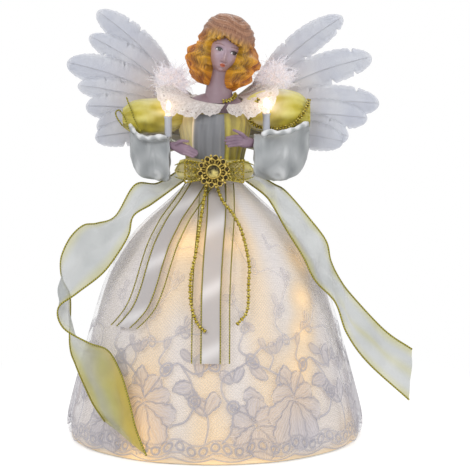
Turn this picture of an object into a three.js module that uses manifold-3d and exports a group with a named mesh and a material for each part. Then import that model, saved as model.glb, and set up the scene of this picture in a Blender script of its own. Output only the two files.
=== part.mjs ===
// Angel tree topper: a lit bell form under a lined lace skirt, with a resin bust and hands, satin
// sleeves, an organza bow and feather wings that fold back. Millimetres, +Z up, facing -Y. The
// origin is on the bell's axis, in the plane of its rim. Left is -X, as seen from the front.
import * as THREE from 'three';
import Module from 'manifold-3d';
import { mergeVertices } from 'three/addons/utils/BufferGeometryUtils.js';

const wasm = await Module();
wasm.setup();

// Shared by every piece: the gap between pieces that touch, and how far a cutting shape passes
// through what it cuts.
const clearance = 0.3;
const overrun = 1;

// The moulded bell form. Its profile goes from the rim to the waist, as shares of the height and
// of the step from waist radius to hem radius.
const bell = {
  height: 182, hemRadius: 104, waistRadius: 18, wall: 1.4, rimWidth: 4, rimThickness: 1.6,
  neckHeight: 47, neckRadius: 14,
};
const bellProfileShares = [
  [0, 1], [0.08, 0.99], [0.25, 0.9], [0.47, 0.777], [0.62, 0.676], [0.74, 0.536], [0.835, 0.369],
  [0.92, 0.17], [1, 0],
];
const bellRowShares = [0, 0.2, 0.42, 0.6, 0.74, 0.87, 1];
const bellSegments = 36;

// The figure above the waist. Places on it are shares of these three sizes: sideways from the
// axis, front to back, and up from the waist.
const figure = { halfWidth: 60, depth: 40, torso: 60 };

// Cloth on the bell.
const folds = { count: 12, depth: 4.2 };
const lining = { thickness: 0.6, hemRise: 0.8, columns: 36 };
const lace = { thickness: 0.7, hemRise: 2.2, scallopDepth: 3, scallops: 24, columns: 72 };
const streamer = { width: 26, thickness: 0.5, columns: 4, mostDegrees: 33 };
const strand = { beadRadius: 1.5, wireRadius: 0.55, pitch: 4.2 };

// Mini lamps and the wires.
const lamp = {
  bulbRadius: 2.2, bulbLength: 11, holderRadius: 2.5, holderLength: 15, flangeRadius: 4,
  flangeThickness: 1.2, recess: 0.4, pushInSides: 6, uprightSides: 8,
};
const wire = { radius: 0.9, armRadius: 0.9, standOff: 4 };
const armBendTension = 0.35;

// Clothes and ribbon round the waist.
const bodice = { waist: 20.6, chestWidth: 26, chestDepth: 18, topWidth: 25, topDepth: 16, rise: 1.7 };
const panel = {
  thickness: 1.2, pleatDepth: 0.5, pleats: 5, middleShare: -0.07, halfShare: 0.185, columns: 10, rows: 4,
};
const band = { height: 14, thickness: 3, ridgeDepth: 0.7, rise: 2, ridges: 2 };
const bowLoop = { length: 28, halfHeight: 7.6, halfDepth: 4.6, pleatDepth: 0.7, pleats: 5 };
const lurexBow = {
  halfLength: 20.5, halfHeight: 8, knotHalfHeight: 3, thickness: 0.8, pleatDepth: 0.9, pleats: 5,
  columns: 10, rows: 6,
};
const tail = { thickness: 0.6, outerDegrees: 76, innerDegrees: 55, outerShare: 0.55, innerShare: 0.05 };
const collar = {
  thickness: 0.8, ruffleDepth: 1.6, ruffleCount: 6, columns: 22, rows: 3, lowDegrees: 20,
  highDegrees: 44, endDegrees: 174, leftStartDegrees: 21, rightStartDegrees: 27,
};
const braid = { beadRadius: 1.5, coreRadius: 0.9, pitch: 3.6 };
const neckline = { startDegrees: 16, endDegrees: 82, aboveLaceDegrees: 10, points: 15 };

// The brooch, with its claw-set stones.
const brooch = {
  ringRadius: 9.2, ringWire: 0.9, cupRadius: 4.8, cupDepth: 2.4, bezelRadius: 1.9, bezelDepth: 2.2,
  stones: 10, rayWidth: 1.1, plateThickness: 1, stoneRadius: 3.9, stoneHeight: 2.2, stoneDome: 0.9,
};

// The bust.
const bust = {
  plateWidth: 24, plateDepth: 15, plateRise: 15, neckRadius: 6.2, headWidth: 14.2, headDepth: 15.5,
  headHeight: 17.5, tiltDegrees: 16, jawShare: 0.2, jawTopDegrees: 5, jawFootDegrees: 60,
};
const hair = {
  width: 26, depth: 24, height: 26.5, lockDepth: 1.5, locks: 13, swayDegrees: 10, swayWaves: 5,
  crownDegrees: 80, crownFadeDegrees: 20, footDegrees: -85, footFadeDegrees: -60, flareShare: 0.05,
  flareWaves: 3, flareStartDegrees: 30,
};

// Arms.
const hand = {
  length: 36, wristShare: 1 / 15, palmWidthShare: 11 / 90, palmThicknessShare: 1 / 15,
  fingerShare: 5 / 144, thumbShare: 3 / 80, fingerSpreadShare: 0.62, taperShare: 0.4,
};
const sleeveWall = 1.2;
const puff = { pleatDepth: 0.8, pleats: 11 };

// Wings.
const wing = {
  hingeOffset: 8, rootOffset: 21, rootRise: 45, rootSpread: 24, span: 100, backingThickness: 1.6,
  backingReach: 48, backingRise: 66, patchHeight: 30, quill: 1.6, thickness: 0.8, edge: 0.35,
  sweepBack: 9, bendShare: 0.05,
};
const down = { thickness: 4, radius: 12, spikeDepth: 4, spikes: 9 };

// How finely round and long pieces are cut: sides round them, and steps or rows along them.
const facets = {
  wireSides: 5, harnessSteps: 40, leadSteps: 8, armWireSides: 5, armWireSteps: 28, bodiceSides: 24,
  bandSides: 28, loopSides: 20, hoopSides: 24, cupSides: 16, bezelSides: 6, stoneSides: 10,
  beadSides: 4, ringsPerBead: 2, grooveSides: 8, grooveSteps: 22, plateSides: 20, plateRings: 6,
  headSides: 20, headRings: 12, neckSides: 8, neckSteps: 5, hairRings: 11, openingSides: 12,
  openingRings: 8, puffSides: 22, sleeveSides: 16, palmSides: 8, fingerSides: 5, fingerSteps: 4,
  featherRows: 7, tailRowsPerShare: 1.5,
};

const finishes = {
  form: { color: 0xf1ead8, roughness: 0.45, metalness: 0 },
  lining: { color: 0xf3dcb4, roughness: 0.7, metalness: 0 },
  lace: { color: 0xd9d2cf, roughness: 0.85, metalness: 0 },
  satin: { color: 0xc9ccd0, roughness: 0.35, metalness: 0 },
  organza: { color: 0xb9a41f, roughness: 0.4, metalness: 0 },
  sheer: { color: 0xc4c6c6, roughness: 0.4, metalness: 0 },
  gold: { color: 0xa08a2c, roughness: 0.3, metalness: 0.9 },
  antiqueGold: { color: 0x8a6a3a, roughness: 0.35, metalness: 0.9 },
  stone: { color: 0xf4e59a, roughness: 0.05, metalness: 0.1 },
  resin: { color: 0xb08a80, roughness: 0.45, metalness: 0 },
  hair: { color: 0xd98a1a, roughness: 0.45, metalness: 0 },
  feather: { color: 0xdfe2ea, roughness: 0.8, metalness: 0 },
  felt: { color: 0xe4e1da, roughness: 0.95, metalness: 0 },
  lamp: { color: 0xfff2cc, roughness: 0.2, metalness: 0 },
  wire: { color: 0xd8dcd4, roughness: 0.5, metalness: 0 },
};

const topper = new THREE.Group();

function addPiece(name, geometry, finish) {
  geometry.computeVertexNormals();
  const mesh = new THREE.Mesh(geometry, new THREE.MeshStandardMaterial(finishes[finish]));
  mesh.name = name;
  topper.add(mesh);
}

const vec = (x, y, z) => new THREE.Vector3(x, y, z);
const mix = (a, b, share) => a + (b - a) * share;
const radians = (degrees) => THREE.MathUtils.degToRad(degrees);
const smooth = (value, low, high) => THREE.MathUtils.smoothstep(value, low, high);
const curveThrough = (points) => new THREE.CatmullRomCurve3(points, false, 'centripetal');

// A place on the figure from its three shares.
function onFigure([x, y, z]) {
  return vec(x * figure.halfWidth, y * figure.depth, bell.height + z * figure.torso);
}

// A closed body from points and triangles, turned so that its faces point out.
function closedBody(points, faces) {
  const sound = faces.filter(([a, b, c]) => a !== b && b !== c && c !== a);
  const normal = vec(0, 0, 0);
  const volume = sound.reduce((sum, [a, b, c]) => (
    sum + normal.copy(points[b]).cross(points[c]).dot(points[a])
  ), 0);
  const outward = volume < 0 ? sound.map(([a, b, c]) => [a, c, b]) : sound;
  const geometry = new THREE.BufferGeometry().setFromPoints(points);
  geometry.setIndex(outward.flat());
  return geometry;
}

// One of three's own shapes as a closed body: only positions, with shared points merged.
function welded(geometry) {
  const bare = new THREE.BufferGeometry();
  bare.setAttribute('position', geometry.getAttribute('position'));
  bare.setIndex(geometry.getIndex());
  const merged = mergeVertices(bare);
  const position = merged.getAttribute('position');
  const index = merged.getIndex().array;
  const points = Array.from({ length: position.count }, (_, i) => (
    vec(position.getX(i), position.getY(i), position.getZ(i))
  ));
  const faces = Array.from({ length: index.length / 3 }, (_, i) => (
    [index[3 * i], index[3 * i + 1], index[3 * i + 2]]
  ));
  return closedBody(points, faces);
}

// A turned shape about +Y from pairs of radius and height that start and end on the axis.
function turned(pairs, segments) {
  return welded(new THREE.LatheGeometry(pairs.map(([r, h]) => new THREE.Vector2(r, h)), segments));
}

// A sheet between two grids of points, given by functions of u and v from 0 to 1, closed round its
// edges. A wrapped sheet joins its last column to its first.
function slab(columns, rows, front, back, wrapped = false) {
  const points = [];
  const faces = [];
  const across = wrapped ? columns : columns + 1;
  const quad = (a, b, c, d) => faces.push([a, b, c], [a, c, d]);
  const at = (side, i, j) => (side * (rows + 1) + j) * across + (i % across);
  for (const side of [front, back]) {
    for (let j = 0; j <= rows; j++) {
      for (let i = 0; i < across; i++) points.push(side(i / columns, j / rows));
    }
  }
  for (let i = 0; i < columns; i++) {
    for (let j = 0; j < rows; j++) {
      quad(at(0, i, j), at(0, i + 1, j), at(0, i + 1, j + 1), at(0, i, j + 1));
      quad(at(1, i, j), at(1, i, j + 1), at(1, i + 1, j + 1), at(1, i + 1, j));
    }
    quad(at(0, i + 1, 0), at(0, i, 0), at(1, i, 0), at(1, i + 1, 0));
    quad(at(0, i, rows), at(0, i + 1, rows), at(1, i + 1, rows), at(1, i, rows));
  }
  for (let j = 0; j < rows && !wrapped; j++) {
    quad(at(0, 0, j), at(0, 0, j + 1), at(1, 0, j + 1), at(1, 0, j));
    quad(at(0, columns, j + 1), at(0, columns, j), at(1, columns, j), at(1, columns, j + 1));
  }
  return closedBody(points, faces);
}

// A slab with a thickness on both sides of a middle surface, along that surface's normals.
function sheet(columns, rows, middle, thicknessAt) {
  const step = 0.01;
  const offset = (side) => (u, v) => {
    const along = middle(Math.min(u + step, 1), v).sub(middle(Math.max(u - step, 0), v));
    const up = middle(u, Math.min(v + step, 1)).sub(middle(u, Math.max(v - step, 0)));
    const normal = along.cross(up).normalize();
    return middle(u, v).addScaledVector(normal, (side * thicknessAt(u, v)) / 2);
  };
  return slab(columns, rows, offset(-1), offset(1));
}

// A closed body through rings of points, capped at both ends.
function loft(rings) {
  const sides = rings[0].length;
  const last = rings.length - 1;
  const points = rings.flat();
  const faces = [];
  const at = (r, s) => r * sides + (s % sides);
  const middle = (r) => rings[r].reduce((sum, p) => sum.add(p), vec(0, 0, 0)).divideScalar(sides);
  const caps = [points.length, points.length + 1];
  points.push(middle(0), middle(last));
  for (let s = 0; s < sides; s++) {
    for (let r = 0; r < last; r++) {
      faces.push([at(r, s), at(r, s + 1), at(r + 1, s + 1)]);
      faces.push([at(r, s), at(r + 1, s + 1), at(r + 1, s)]);
    }
    faces.push([caps[0], at(0, s + 1), at(0, s)], [caps[1], at(last, s), at(last, s + 1)]);
  }
  return closedBody(points, faces);
}

// A ring of points round a centre, between two perpendicular half axes, with an optional wave.
function ring(centre, halfAcross, halfUp, sides, wave = () => 1) {
  return Array.from({ length: sides }, (_, i) => {
    const angle = (i / sides) * 2 * Math.PI;
    const size = wave(angle);
    return centre.clone()
      .addScaledVector(halfAcross, size * Math.cos(angle))
      .addScaledVector(halfUp, size * Math.sin(angle));
  });
}

// A tube along a curve, whose radius follows the share of its length.
function tube(curve, radiusAt, sides, steps) {
  const frames = curve.computeFrenetFrames(steps, false);
  return loft(frames.tangents.map((_, i) => {
    const radius = radiusAt(i / steps);
    const across = frames.normals[i].clone().multiplyScalar(radius);
    const up = frames.binormals[i].clone().multiplyScalar(radius);
    return ring(curve.getPointAt(i / steps), across, up, sides);
  }));
}

// Beads on a wire, at whole pitches, so that both ends are bare wire.
function beadedTube(curve, beadRadius, coreRadius, pitch) {
  const beads = Math.max(1, Math.round(curve.getLength() / pitch));
  const radiusAt = (share) => mix(coreRadius, beadRadius, Math.abs(Math.sin(share * beads * Math.PI)));
  return tube(curve, radiusAt, facets.beadSides, beads * facets.ringsPerBead);
}

// Booleans. A cut keeps the largest body that is left.
function toSolid(geometry) {
  const merged = welded(geometry);
  const triVerts = Uint32Array.from(merged.getIndex().array);
  const vertProperties = Float32Array.from(merged.getAttribute('position').array);
  return new wasm.Manifold(new wasm.Mesh({ numProp: 3, vertProperties, triVerts }));
}

function toGeometry(solid) {
  const { vertProperties, triVerts } = solid.getMesh();
  const geometry = new THREE.BufferGeometry();
  geometry.setAttribute('position', new THREE.BufferAttribute(Float32Array.from(vertProperties), 3));
  geometry.setIndex(Array.from(triVerts));
  return geometry;
}

function cut(geometry, ...tools) {
  const left = tools.reduce((solid, tool) => solid.subtract(toSolid(tool)), toSolid(geometry));
  const bodies = left.decompose();
  return toGeometry(bodies.reduce((a, b) => (b.volume() > a.volume() ? b : a)));
}

function join(first, ...others) {
  return toGeometry(others.reduce((solid, other) => solid.add(toSolid(other)), toSolid(first)));
}

// The bell's outer surface: straight between its rows, each a point on the curved profile with the
// direction that leads away from the wall there.
const bellProfile = new THREE.SplineCurve(bellProfileShares.map(([height, radius]) => (
  new THREE.Vector2(mix(bell.waistRadius, bell.hemRadius, radius), height * bell.height)
)));

const bellRows = bellRowShares.map((share) => {
  let [low, high] = [0, 1];
  while (high - low > Number.EPSILON) {
    const middle = (low + high) / 2;
    if (bellProfile.getPoint(middle).y < share * bell.height) low = middle;
    else high = middle;
  }
  const tangent = bellProfile.getTangent(high);
  return { share, spot: bellProfile.getPoint(high), away: new THREE.Vector2(tangent.y, -tangent.x) };
});

// A point at an angle from the front and a height on the bell, lifted off it.
function onBell(angle, height, lift) {
  const above = bellRows.findIndex(({ share }) => share * bell.height >= height);
  const row = Math.max(above, 1) - 1;
  const [low, high] = [bellRows[row], bellRows[row + 1]];
  const step = (height / bell.height - low.share) / (high.share - low.share);
  const spot = low.spot.clone().lerp(high.spot, step);
  spot.addScaledVector(low.away.clone().lerp(high.away, step), lift);
  return vec(spot.x * Math.sin(angle), -spot.x * Math.cos(angle), spot.y);
}

// How far gathered cloth stands off the bell: nothing at the waist, the full depth at the hem,
// deeper in some folds than in others.
const crestLift = (height) => folds.depth * (1 - height / bell.height) ** 0.8;

function foldLift(angle, height) {
  const wave = 0.5 + 0.5 * Math.cos(folds.count * angle + Math.sin(3 * angle));
  const evenness = 0.82 - 0.18 * Math.sin(5 * angle + 1);
  return crestLift(height) * wave * evenness;
}

const laceLift = clearance + lining.thickness + clearance;
const streamerLift = laceLift + lace.thickness + clearance;
const strandLift = streamerLift + streamer.thickness + clearance + strand.beadRadius;

const neckTop = bell.height + bell.neckHeight;
const wireHeight = neckTop + clearance + wire.armRadius;
const bustBase = wireHeight + wire.armRadius + clearance;
const bandBase = bell.height + band.rise;

function bellForm() {
  const outer = bellRows.map(({ spot }) => [spot.x, spot.y]);
  const inner = bellRows.slice(1).map(({ spot, away }) => (
    [spot.x - bell.wall * away.x, spot.y - bell.wall * away.y]
  ));
  const foot = bell.hemRadius - bell.rimWidth;
  const innerNeck = bell.neckRadius - bell.wall;
  const shell = turned([
    [0, neckTop - bell.wall], [innerNeck, neckTop - bell.wall], ...inner.reverse(),
    [bell.hemRadius - bell.wall, bell.rimThickness], [foot, bell.rimThickness], [foot, 0],
    ...outer, [bell.neckRadius, neckTop], [0, neckTop],
  ], bellSegments).rotateX(Math.PI / 2);
  return cut(shell, ...lampHoles(), ...leadShapes(clearance));
}

// A closed cloth skirt on the bell, from a hem height that may vary round it up to the waist.
function skirt({ thickness, columns }, lift, hemAt, foldAt) {
  const rows = bellRowShares.length - 1;
  const side = (extra) => (u, v) => {
    const angle = u * 2 * Math.PI;
    const height = Math.max(hemAt(angle), bellRowShares[Math.round(v * rows)] * bell.height);
    return onBell(angle, height, lift + extra + foldAt(angle, height));
  };
  return slab(columns, rows, side(0), side(thickness), true);
}

const scallop = (angle) => (
  lace.hemRise + lace.scallopDepth * (1 - Math.abs(Math.sin((angle * lace.scallops) / 2)))
);

// Stand a shape made along +Y on a spot, with its +Y along a direction.
function aim(geometry, spot, direction) {
  const turn = new THREE.Quaternion().setFromUnitVectors(vec(0, 1, 0), direction);
  return geometry.applyQuaternion(turn).translate(spot.x, spot.y, spot.z);
}

// Lamps pushed into the form: four high and four low, each square to the middle of a wall facet.
const highLamps = { heightShare: 0.8, count: 4, firstDegrees: -105 };
const lowLamps = { heightShare: 0.31, count: 4, firstDegrees: 305 };
const pushInDepth = bell.wall + clearance + lamp.flangeThickness + lamp.holderLength;

function squareToWall(degrees, heightShare) {
  const angle = radians(degrees);
  const inset = Math.cos(Math.PI / bellSegments);
  const onFacet = (height) => onBell(angle, height, 0).multiply(vec(inset, inset, 1));
  const spot = onFacet(heightShare * bell.height);
  const up = onFacet(heightShare * bell.height + overrun).sub(spot).normalize();
  return { spot, outward: vec(Math.cos(angle), Math.sin(angle), 0).cross(up) };
}

const lampPlaces = [highLamps, lowLamps].flatMap(({ heightShare, count, firstDegrees }) => (
  Array.from({ length: count }, (_, i) => squareToWall(firstDegrees + (i * 360) / count, heightShare))
));

function lampHoles() {
  const depth = 2 * (bell.wall + overrun);
  return lampPlaces.map(({ spot, outward }) => {
    const hole = new THREE.CylinderGeometry(1, 1, 1, lamp.pushInSides);
    hole.scale(lamp.bulbRadius + clearance, depth, lamp.bulbRadius + clearance);
    return aim(hole, spot, outward);
  });
}

function pushInLamp() {
  const seat = -(bell.wall + clearance);
  const { holderRadius, flangeRadius, bulbRadius, recess, flangeThickness } = lamp;
  return turned([
    [0, -pushInDepth], [holderRadius, -pushInDepth], [holderRadius, seat - flangeThickness],
    [flangeRadius, seat - flangeThickness], [flangeRadius, seat], [bulbRadius, seat],
    [bulbRadius, -recess - bulbRadius / 4], [0, -recess],
  ], lamp.pushInSides);
}

// The upright lamp of a shoulder, with its tip at the local origin.
function uprightLamp(grow = 0) {
  const { holderRadius, bulbRadius, bulbLength, holderLength } = lamp;
  const foot = -(bulbLength + holderLength) - grow;
  return turned([
    [0, foot], [holderRadius + grow, foot], [holderRadius + grow, -bulbLength + grow],
    [bulbRadius + grow, -bulbLength + bulbRadius / 2 + grow], [bulbRadius + grow, -bulbRadius],
    [bulbRadius * 0.6 + grow, -bulbRadius * 0.3], [0, grow],
  ], lamp.uprightSides);
}

const shoulderLamps = [
  { name: 'left_shoulder_lamp', tipShares: [-0.547, -0.4, 0.975] },
  { name: 'right_shoulder_lamp', tipShares: [0.612, -0.4, 1.01] },
];

function placedUprightLamp({ tipShares }, grow) {
  return aim(uprightLamp(grow), onFigure(tipShares), vec(0, 0, 1));
}

// The harness comes down inside the neck between two lamps, goes round behind the high holders,
// drops, and goes round behind the low ones. Two leads leave it through the neck for the shoulders.
const harness = {
  beforeDegrees: 42, afterDegrees: 8, dropDegrees: 80, rounds: 48, neckShares: [1.12, 1.06, 1],
  throatShares: [0.95, 0.9],
};

function harnessCurve() {
  const first = highLamps.firstDegrees - harness.beforeDegrees;
  const lastHigh = highLamps.firstDegrees + 360 * (1 - 1 / highLamps.count);
  const last = lowLamps.firstDegrees + 360 * (1 - 1 / lowLamps.count) + harness.afterDegrees;
  const depth = pushInDepth + clearance + wire.radius;
  const side = radians(first);
  const inside = bell.neckRadius - bell.wall - wire.standOff;
  const points = [
    ...harness.neckShares.map((share) => (
      vec(inside * Math.sin(side), -inside * Math.cos(side), share * bell.height)
    )),
    ...harness.throatShares.map((share) => (
      onBell(side, share * bell.height, -bell.wall - wire.standOff)
    )),
  ];
  for (let i = 0; i <= harness.rounds; i++) {
    const degrees = mix(first, last, i / harness.rounds);
    const dropStart = lastHigh + harness.afterDegrees;
    const drop = smooth(degrees, dropStart, dropStart + harness.dropDegrees);
    const share = mix(highLamps.heightShare, lowLamps.heightShare, drop);
    const { spot, outward } = squareToWall(degrees, share);
    points.push(spot.addScaledVector(outward, -depth));
  }
  return curveThrough(points);
}

const leadShares = {
  left: [[-0.37, -0.2, 0.44], [-0.5, -0.36, 0.5]],
  right: [[0.02, 0.1, 0.36], [0.25, 0, 0.4], [0.44, -0.24, 0.46], [0.585, -0.38, 0.51]],
};

function leadShapes(grow = 0) {
  const start = harnessCurve().getPoint(0);
  return shoulderLamps.map(({ tipShares }, i) => {
    const foot = onFigure(tipShares);
    foot.z -= lamp.bulbLength + lamp.holderLength + clearance;
    const way = (i === 0 ? leadShares.left : leadShares.right).map(onFigure);
    const last = foot.clone();
    last.z -= wire.radius;
    const curve = curveThrough([start, ...way, last, foot]);
    return tube(curve, () => wire.radius + grow, facets.wireSides, facets.leadSteps);
  });
}

function wireHarness() {
  const run = tube(harnessCurve(), () => wire.radius, facets.wireSides, facets.harnessSteps);
  return join(run, ...leadShapes());
}

// The bodice's outside as a stack of ellipses.
const chestHeight = bell.height + 0.7 * figure.torso;

function bodiceShape(grow = 0) {
  const base = bell.height + bodice.rise - grow;
  const bandTop = bandBase + band.height;
  const top = bustBase - clearance + grow;
  const stations = [
    [base, bodice.waist, bodice.waist], [bandTop, bodice.waist, bodice.waist],
    [mix(bandTop, chestHeight, 0.5), mix(bodice.waist, bodice.chestWidth, 0.55),
      mix(bodice.waist, bodice.chestDepth, 0.5)],
    [chestHeight, bodice.chestWidth, bodice.chestDepth], [top, bodice.topWidth, bodice.topDepth],
  ];
  return loft(stations.map(([height, across, deep]) => (
    ring(vec(0, 0, height), vec(across + grow, 0, 0), vec(0, deep + grow, 0), facets.bodiceSides)
  )));
}

// The space that the form's neck takes inside the bodice.
function neckSpace() {
  const radii = [bell.waistRadius, bell.waistRadius, bell.neckRadius, bell.neckRadius];
  const heights = [bell.height - overrun, bell.height, neckTop, bustBase + overrun];
  return loft(radii.map((radius, i) => {
    const reach = radius + clearance;
    return ring(vec(0, 0, heights[i]), vec(reach, 0, 0), vec(0, reach, 0), facets.bodiceSides);
  }));
}

// The satin front panel, fitted to the chest, with pleats that run down it.
function frontPanel() {
  const low = bandBase + band.height + 2 * clearance;
  const high = bustBase - 2 * clearance;
  const side = (extra) => (u, v) => {
    const height = mix(low, high, v);
    const growth = smooth(height, low, chestHeight);
    const deep = mix(bodice.waist, bodice.chestDepth, growth);
    const across = mix(bodice.waist, bodice.chestWidth, growth);
    const x = (panel.middleShare + (2 * u - 1) * panel.halfShare) * figure.halfWidth;
    const pleat = extra ? panel.pleatDepth * Math.sin(u * panel.pleats * Math.PI) ** 2 : 0;
    const lift = 2 * clearance + extra + pleat;
    return vec(x, -(deep + lift) * Math.sqrt(1 - (x / (across + lift)) ** 2), height);
  };
  return slab(panel.columns, panel.rows, side(0), side(panel.thickness));
}

function waistBand() {
  const inner = bodice.waist + clearance;
  const outer = inner + band.thickness;
  const steps = 2 * band.ridges;
  const ridges = Array.from({ length: steps + 1 }, (_, i) => (
    [outer - (i % 2 ? 0 : band.ridgeDepth), (i / steps) * band.height]
  ));
  const profile = [[inner, 0], ...ridges, [inner, band.height], [inner, 0]];
  return turned(profile, facets.bandSides).rotateX(Math.PI / 2).translate(0, 0, bandBase);
}

const bandFront = bodice.waist + clearance + band.thickness;
const bowHeight = bandBase + band.height / 2;

// One padded loop of the organza bow, gathered at the knot: reach, height and depth of each oval.
const loopShares = [[0.08, 0.45, 0.7], [0.3, 0.85, 0.95], [0.6, 1, 1], [0.85, 0.95, 0.9], [1, 0.55, 0.5]];

function organzaLoop(side) {
  const depthAt = bandFront + clearance + bowLoop.halfDepth;
  return loft(loopShares.map(([reach, tall, deep]) => {
    const centre = vec(side * reach * bowLoop.length, -depthAt, bowHeight);
    const depth = bowLoop.pleatDepth;
    const pleat = (angle) => 1 + (depth / bowLoop.halfHeight) * Math.cos(angle * 2 * bowLoop.pleats);
    const up = vec(0, 0, tall * (bowLoop.halfHeight - depth));
    const forward = vec(0, deep * (bowLoop.halfDepth - depth), 0);
    return ring(centre, forward, up, facets.loopSides, pleat);
  }));
}

const lurexDepth = bandFront + 2 * clearance + 2 * bowLoop.halfDepth + lurexBow.pleatDepth;

function lurexBowShape() {
  return sheet(lurexBow.columns, lurexBow.rows, (u, v) => {
    const reach = 2 * u - 1;
    const half = mix(lurexBow.knotHalfHeight, lurexBow.halfHeight, Math.abs(reach) ** 0.7);
    const pleat = lurexBow.pleatDepth * Math.abs(reach) * Math.sin(v * lurexBow.pleats * Math.PI);
    const depth = lurexDepth + lurexBow.thickness / 2 - pleat;
    return vec(reach * lurexBow.halfLength, -depth, bowHeight + (2 * v - 1) * half);
  }, () => lurexBow.thickness);
}

const broochDepth = lurexDepth + lurexBow.thickness + lurexBow.pleatDepth + clearance;

// Stand a shape made along +Y, from its back at zero, on the front of the bow.
function onBow(geometry, away) {
  return geometry.rotateX(Math.PI).translate(0, -broochDepth - away, bowHeight);
}

function broochShape() {
  const { ringRadius, ringWire, cupRadius, cupDepth, bezelRadius, bezelDepth, stones } = brooch;
  const hoop = turned([
    [ringRadius - ringWire, 0], [ringRadius + ringWire, 0],
    [ringRadius + ringWire, brooch.plateThickness],
    [ringRadius - ringWire, brooch.plateThickness], [ringRadius - ringWire, 0],
  ], facets.hoopSides);
  const cup = turned([
    [0, 0], [cupRadius, 0], [cupRadius, cupDepth], [brooch.stoneRadius + clearance, cupDepth],
    [brooch.stoneRadius + clearance, brooch.plateThickness], [0, brooch.plateThickness],
  ], facets.cupSides);
  const settings = Array.from({ length: stones }, (_, i) => {
    const turn = (i / stones) * 2 * Math.PI;
    const bezel = turned([
      [0, 0], [bezelRadius, 0], [bezelRadius, bezelDepth], [0, bezelDepth + brooch.stoneDome],
    ], facets.bezelSides).translate(ringRadius, 0, 0).rotateY(turn);
    const gap = ringRadius - cupRadius;
    const ray = new THREE.BoxGeometry(1, 1, 1);
    ray.scale(gap + ringWire, brooch.plateThickness, brooch.rayWidth);
    ray.translate(cupRadius + gap / 2 - ringWire / 2, brooch.plateThickness / 2, 0);
    return join(bezel, ray.rotateY(turn));
  });
  return onBow(join(hoop, cup, ...settings), 0);
}

function broochStone() {
  const { stoneRadius, stoneHeight } = brooch;
  const stone = turned([
    [0, 0], [stoneRadius * 0.8, 0], [stoneRadius, stoneHeight * 0.35],
    [stoneRadius * 0.55, stoneHeight], [0, stoneHeight],
  ], facets.stoneSides);
  return onBow(stone, brooch.plateThickness + clearance);
}

// The two wired tails of the bow. Each row gives the outer and the inner edge as shares of the
// bell: across and forward of its hem radius, up of its height. The first row is the waist band's.
const tailShares = {
  left: [
    [-0.40, -0.02, 0.995, -0.33, -0.21, 0.96], [-0.55, -0.08, 0.99, -0.43, -0.29, 0.92],
    [-0.68, -0.13, 0.87, -0.54, -0.37, 0.88], [-0.81, -0.10, 0.84, -0.57, -0.42, 0.81],
    [-0.91, -0.08, 0.83, -0.64, -0.44, 0.74], [-1.00, -0.10, 0.78, -0.75, -0.42, 0.66],
    [-1.06, -0.12, 0.70, -0.93, -0.39, 0.58], [-1.05, -0.14, 0.62, -1.04, -0.45, 0.53],
    [-0.99, -0.20, 0.55, -1.00, -0.51, 0.46], [-0.98, -0.33, 0.38, -0.83, -0.58, 0.41],
    [-0.93, -0.43, 0.31, -0.69, -0.69, 0.39], [-0.86, -0.54, 0.24, -0.60, -0.80, 0.32],
    [-0.79, -0.69, 0.19, -0.54, -0.89, 0.23], [-0.73, -0.78, 0.155, -0.49, -0.96, 0.13],
    [-0.70, -0.83, 0.14, -0.42, -1.03, 0.04],
  ],
  right: [
    [0.40, -0.02, 0.995, 0.33, -0.21, 0.96], [0.49, -0.10, 0.965, 0.39, -0.28, 0.92],
    [0.65, -0.17, 0.86, 0.48, -0.38, 0.83], [0.76, -0.21, 0.775, 0.59, -0.46, 0.73],
    [0.79, -0.25, 0.70, 0.67, -0.50, 0.64], [0.85, -0.23, 0.63, 0.81, -0.42, 0.55],
    [0.94, -0.21, 0.56, 0.89, -0.41, 0.43], [1.17, -0.17, 0.42, 1.04, -0.35, 0.31],
    [1.36, -0.17, 0.345, 1.33, -0.27, 0.155],
  ],
};

function ribbonTail(rows, side) {
  const seat = bandFront + clearance + tail.thickness;
  const { outerDegrees, outerShare, innerDegrees, innerShare } = tail;
  const start = (degrees, share) => vec(
    side * seat * Math.sin(radians(degrees)), -seat * Math.cos(radians(degrees)),
    bandBase + share * band.height,
  );
  const place = ([x, y, z]) => vec(x * bell.hemRadius, y * bell.hemRadius, z * bell.height);
  const edge = (first, from, to) => curveThrough([first, ...rows.map((row) => place(row.slice(from, to)))]);
  const outer = edge(start(outerDegrees, outerShare), 0, 3);
  const inner = edge(start(innerDegrees, innerShare), 3);
  const middle = (u, v) => inner.getPoint(v).lerp(outer.getPoint(v), u);
  return sheet(2, Math.round(rows.length * facets.tailRowsPerShare), middle, () => tail.thickness);
}

// A streamer down the skirt: its middle follows angles at heights, and it lies on the fold crests.
const streamerRuns = {
  left: {
    degrees: [-30, -33, -34, -33, -33, -35, -39, -43],
    shares: [0.985, 0.9, 0.8, 0.7, 0.62, 0.55, 0.5, 0.465],
  },
  centre: { degrees: [4, 2, 0, -1, -1, -1], shares: [0.985, 0.87, 0.75, 0.6, 0.47, 0.355] },
};

// Heights for the rows of a cloth: its own ends, the bell's rows between, and a row in between each.
function rowsBetween(top, bottom) {
  const inside = bellRowShares.filter((share) => share < top && share > bottom).reverse();
  const stops = [top, ...inside, bottom];
  return stops.flatMap((stop, i) => (i > 0 ? [(stops[i - 1] + stop) / 2, stop] : [stop]));
}

// Where the streamers cross under the knot, the left one and the beads lie over the centre one.
const crossingLift = (share) => (streamer.thickness + clearance) * smooth(share, 0.8, 0.86);

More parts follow.
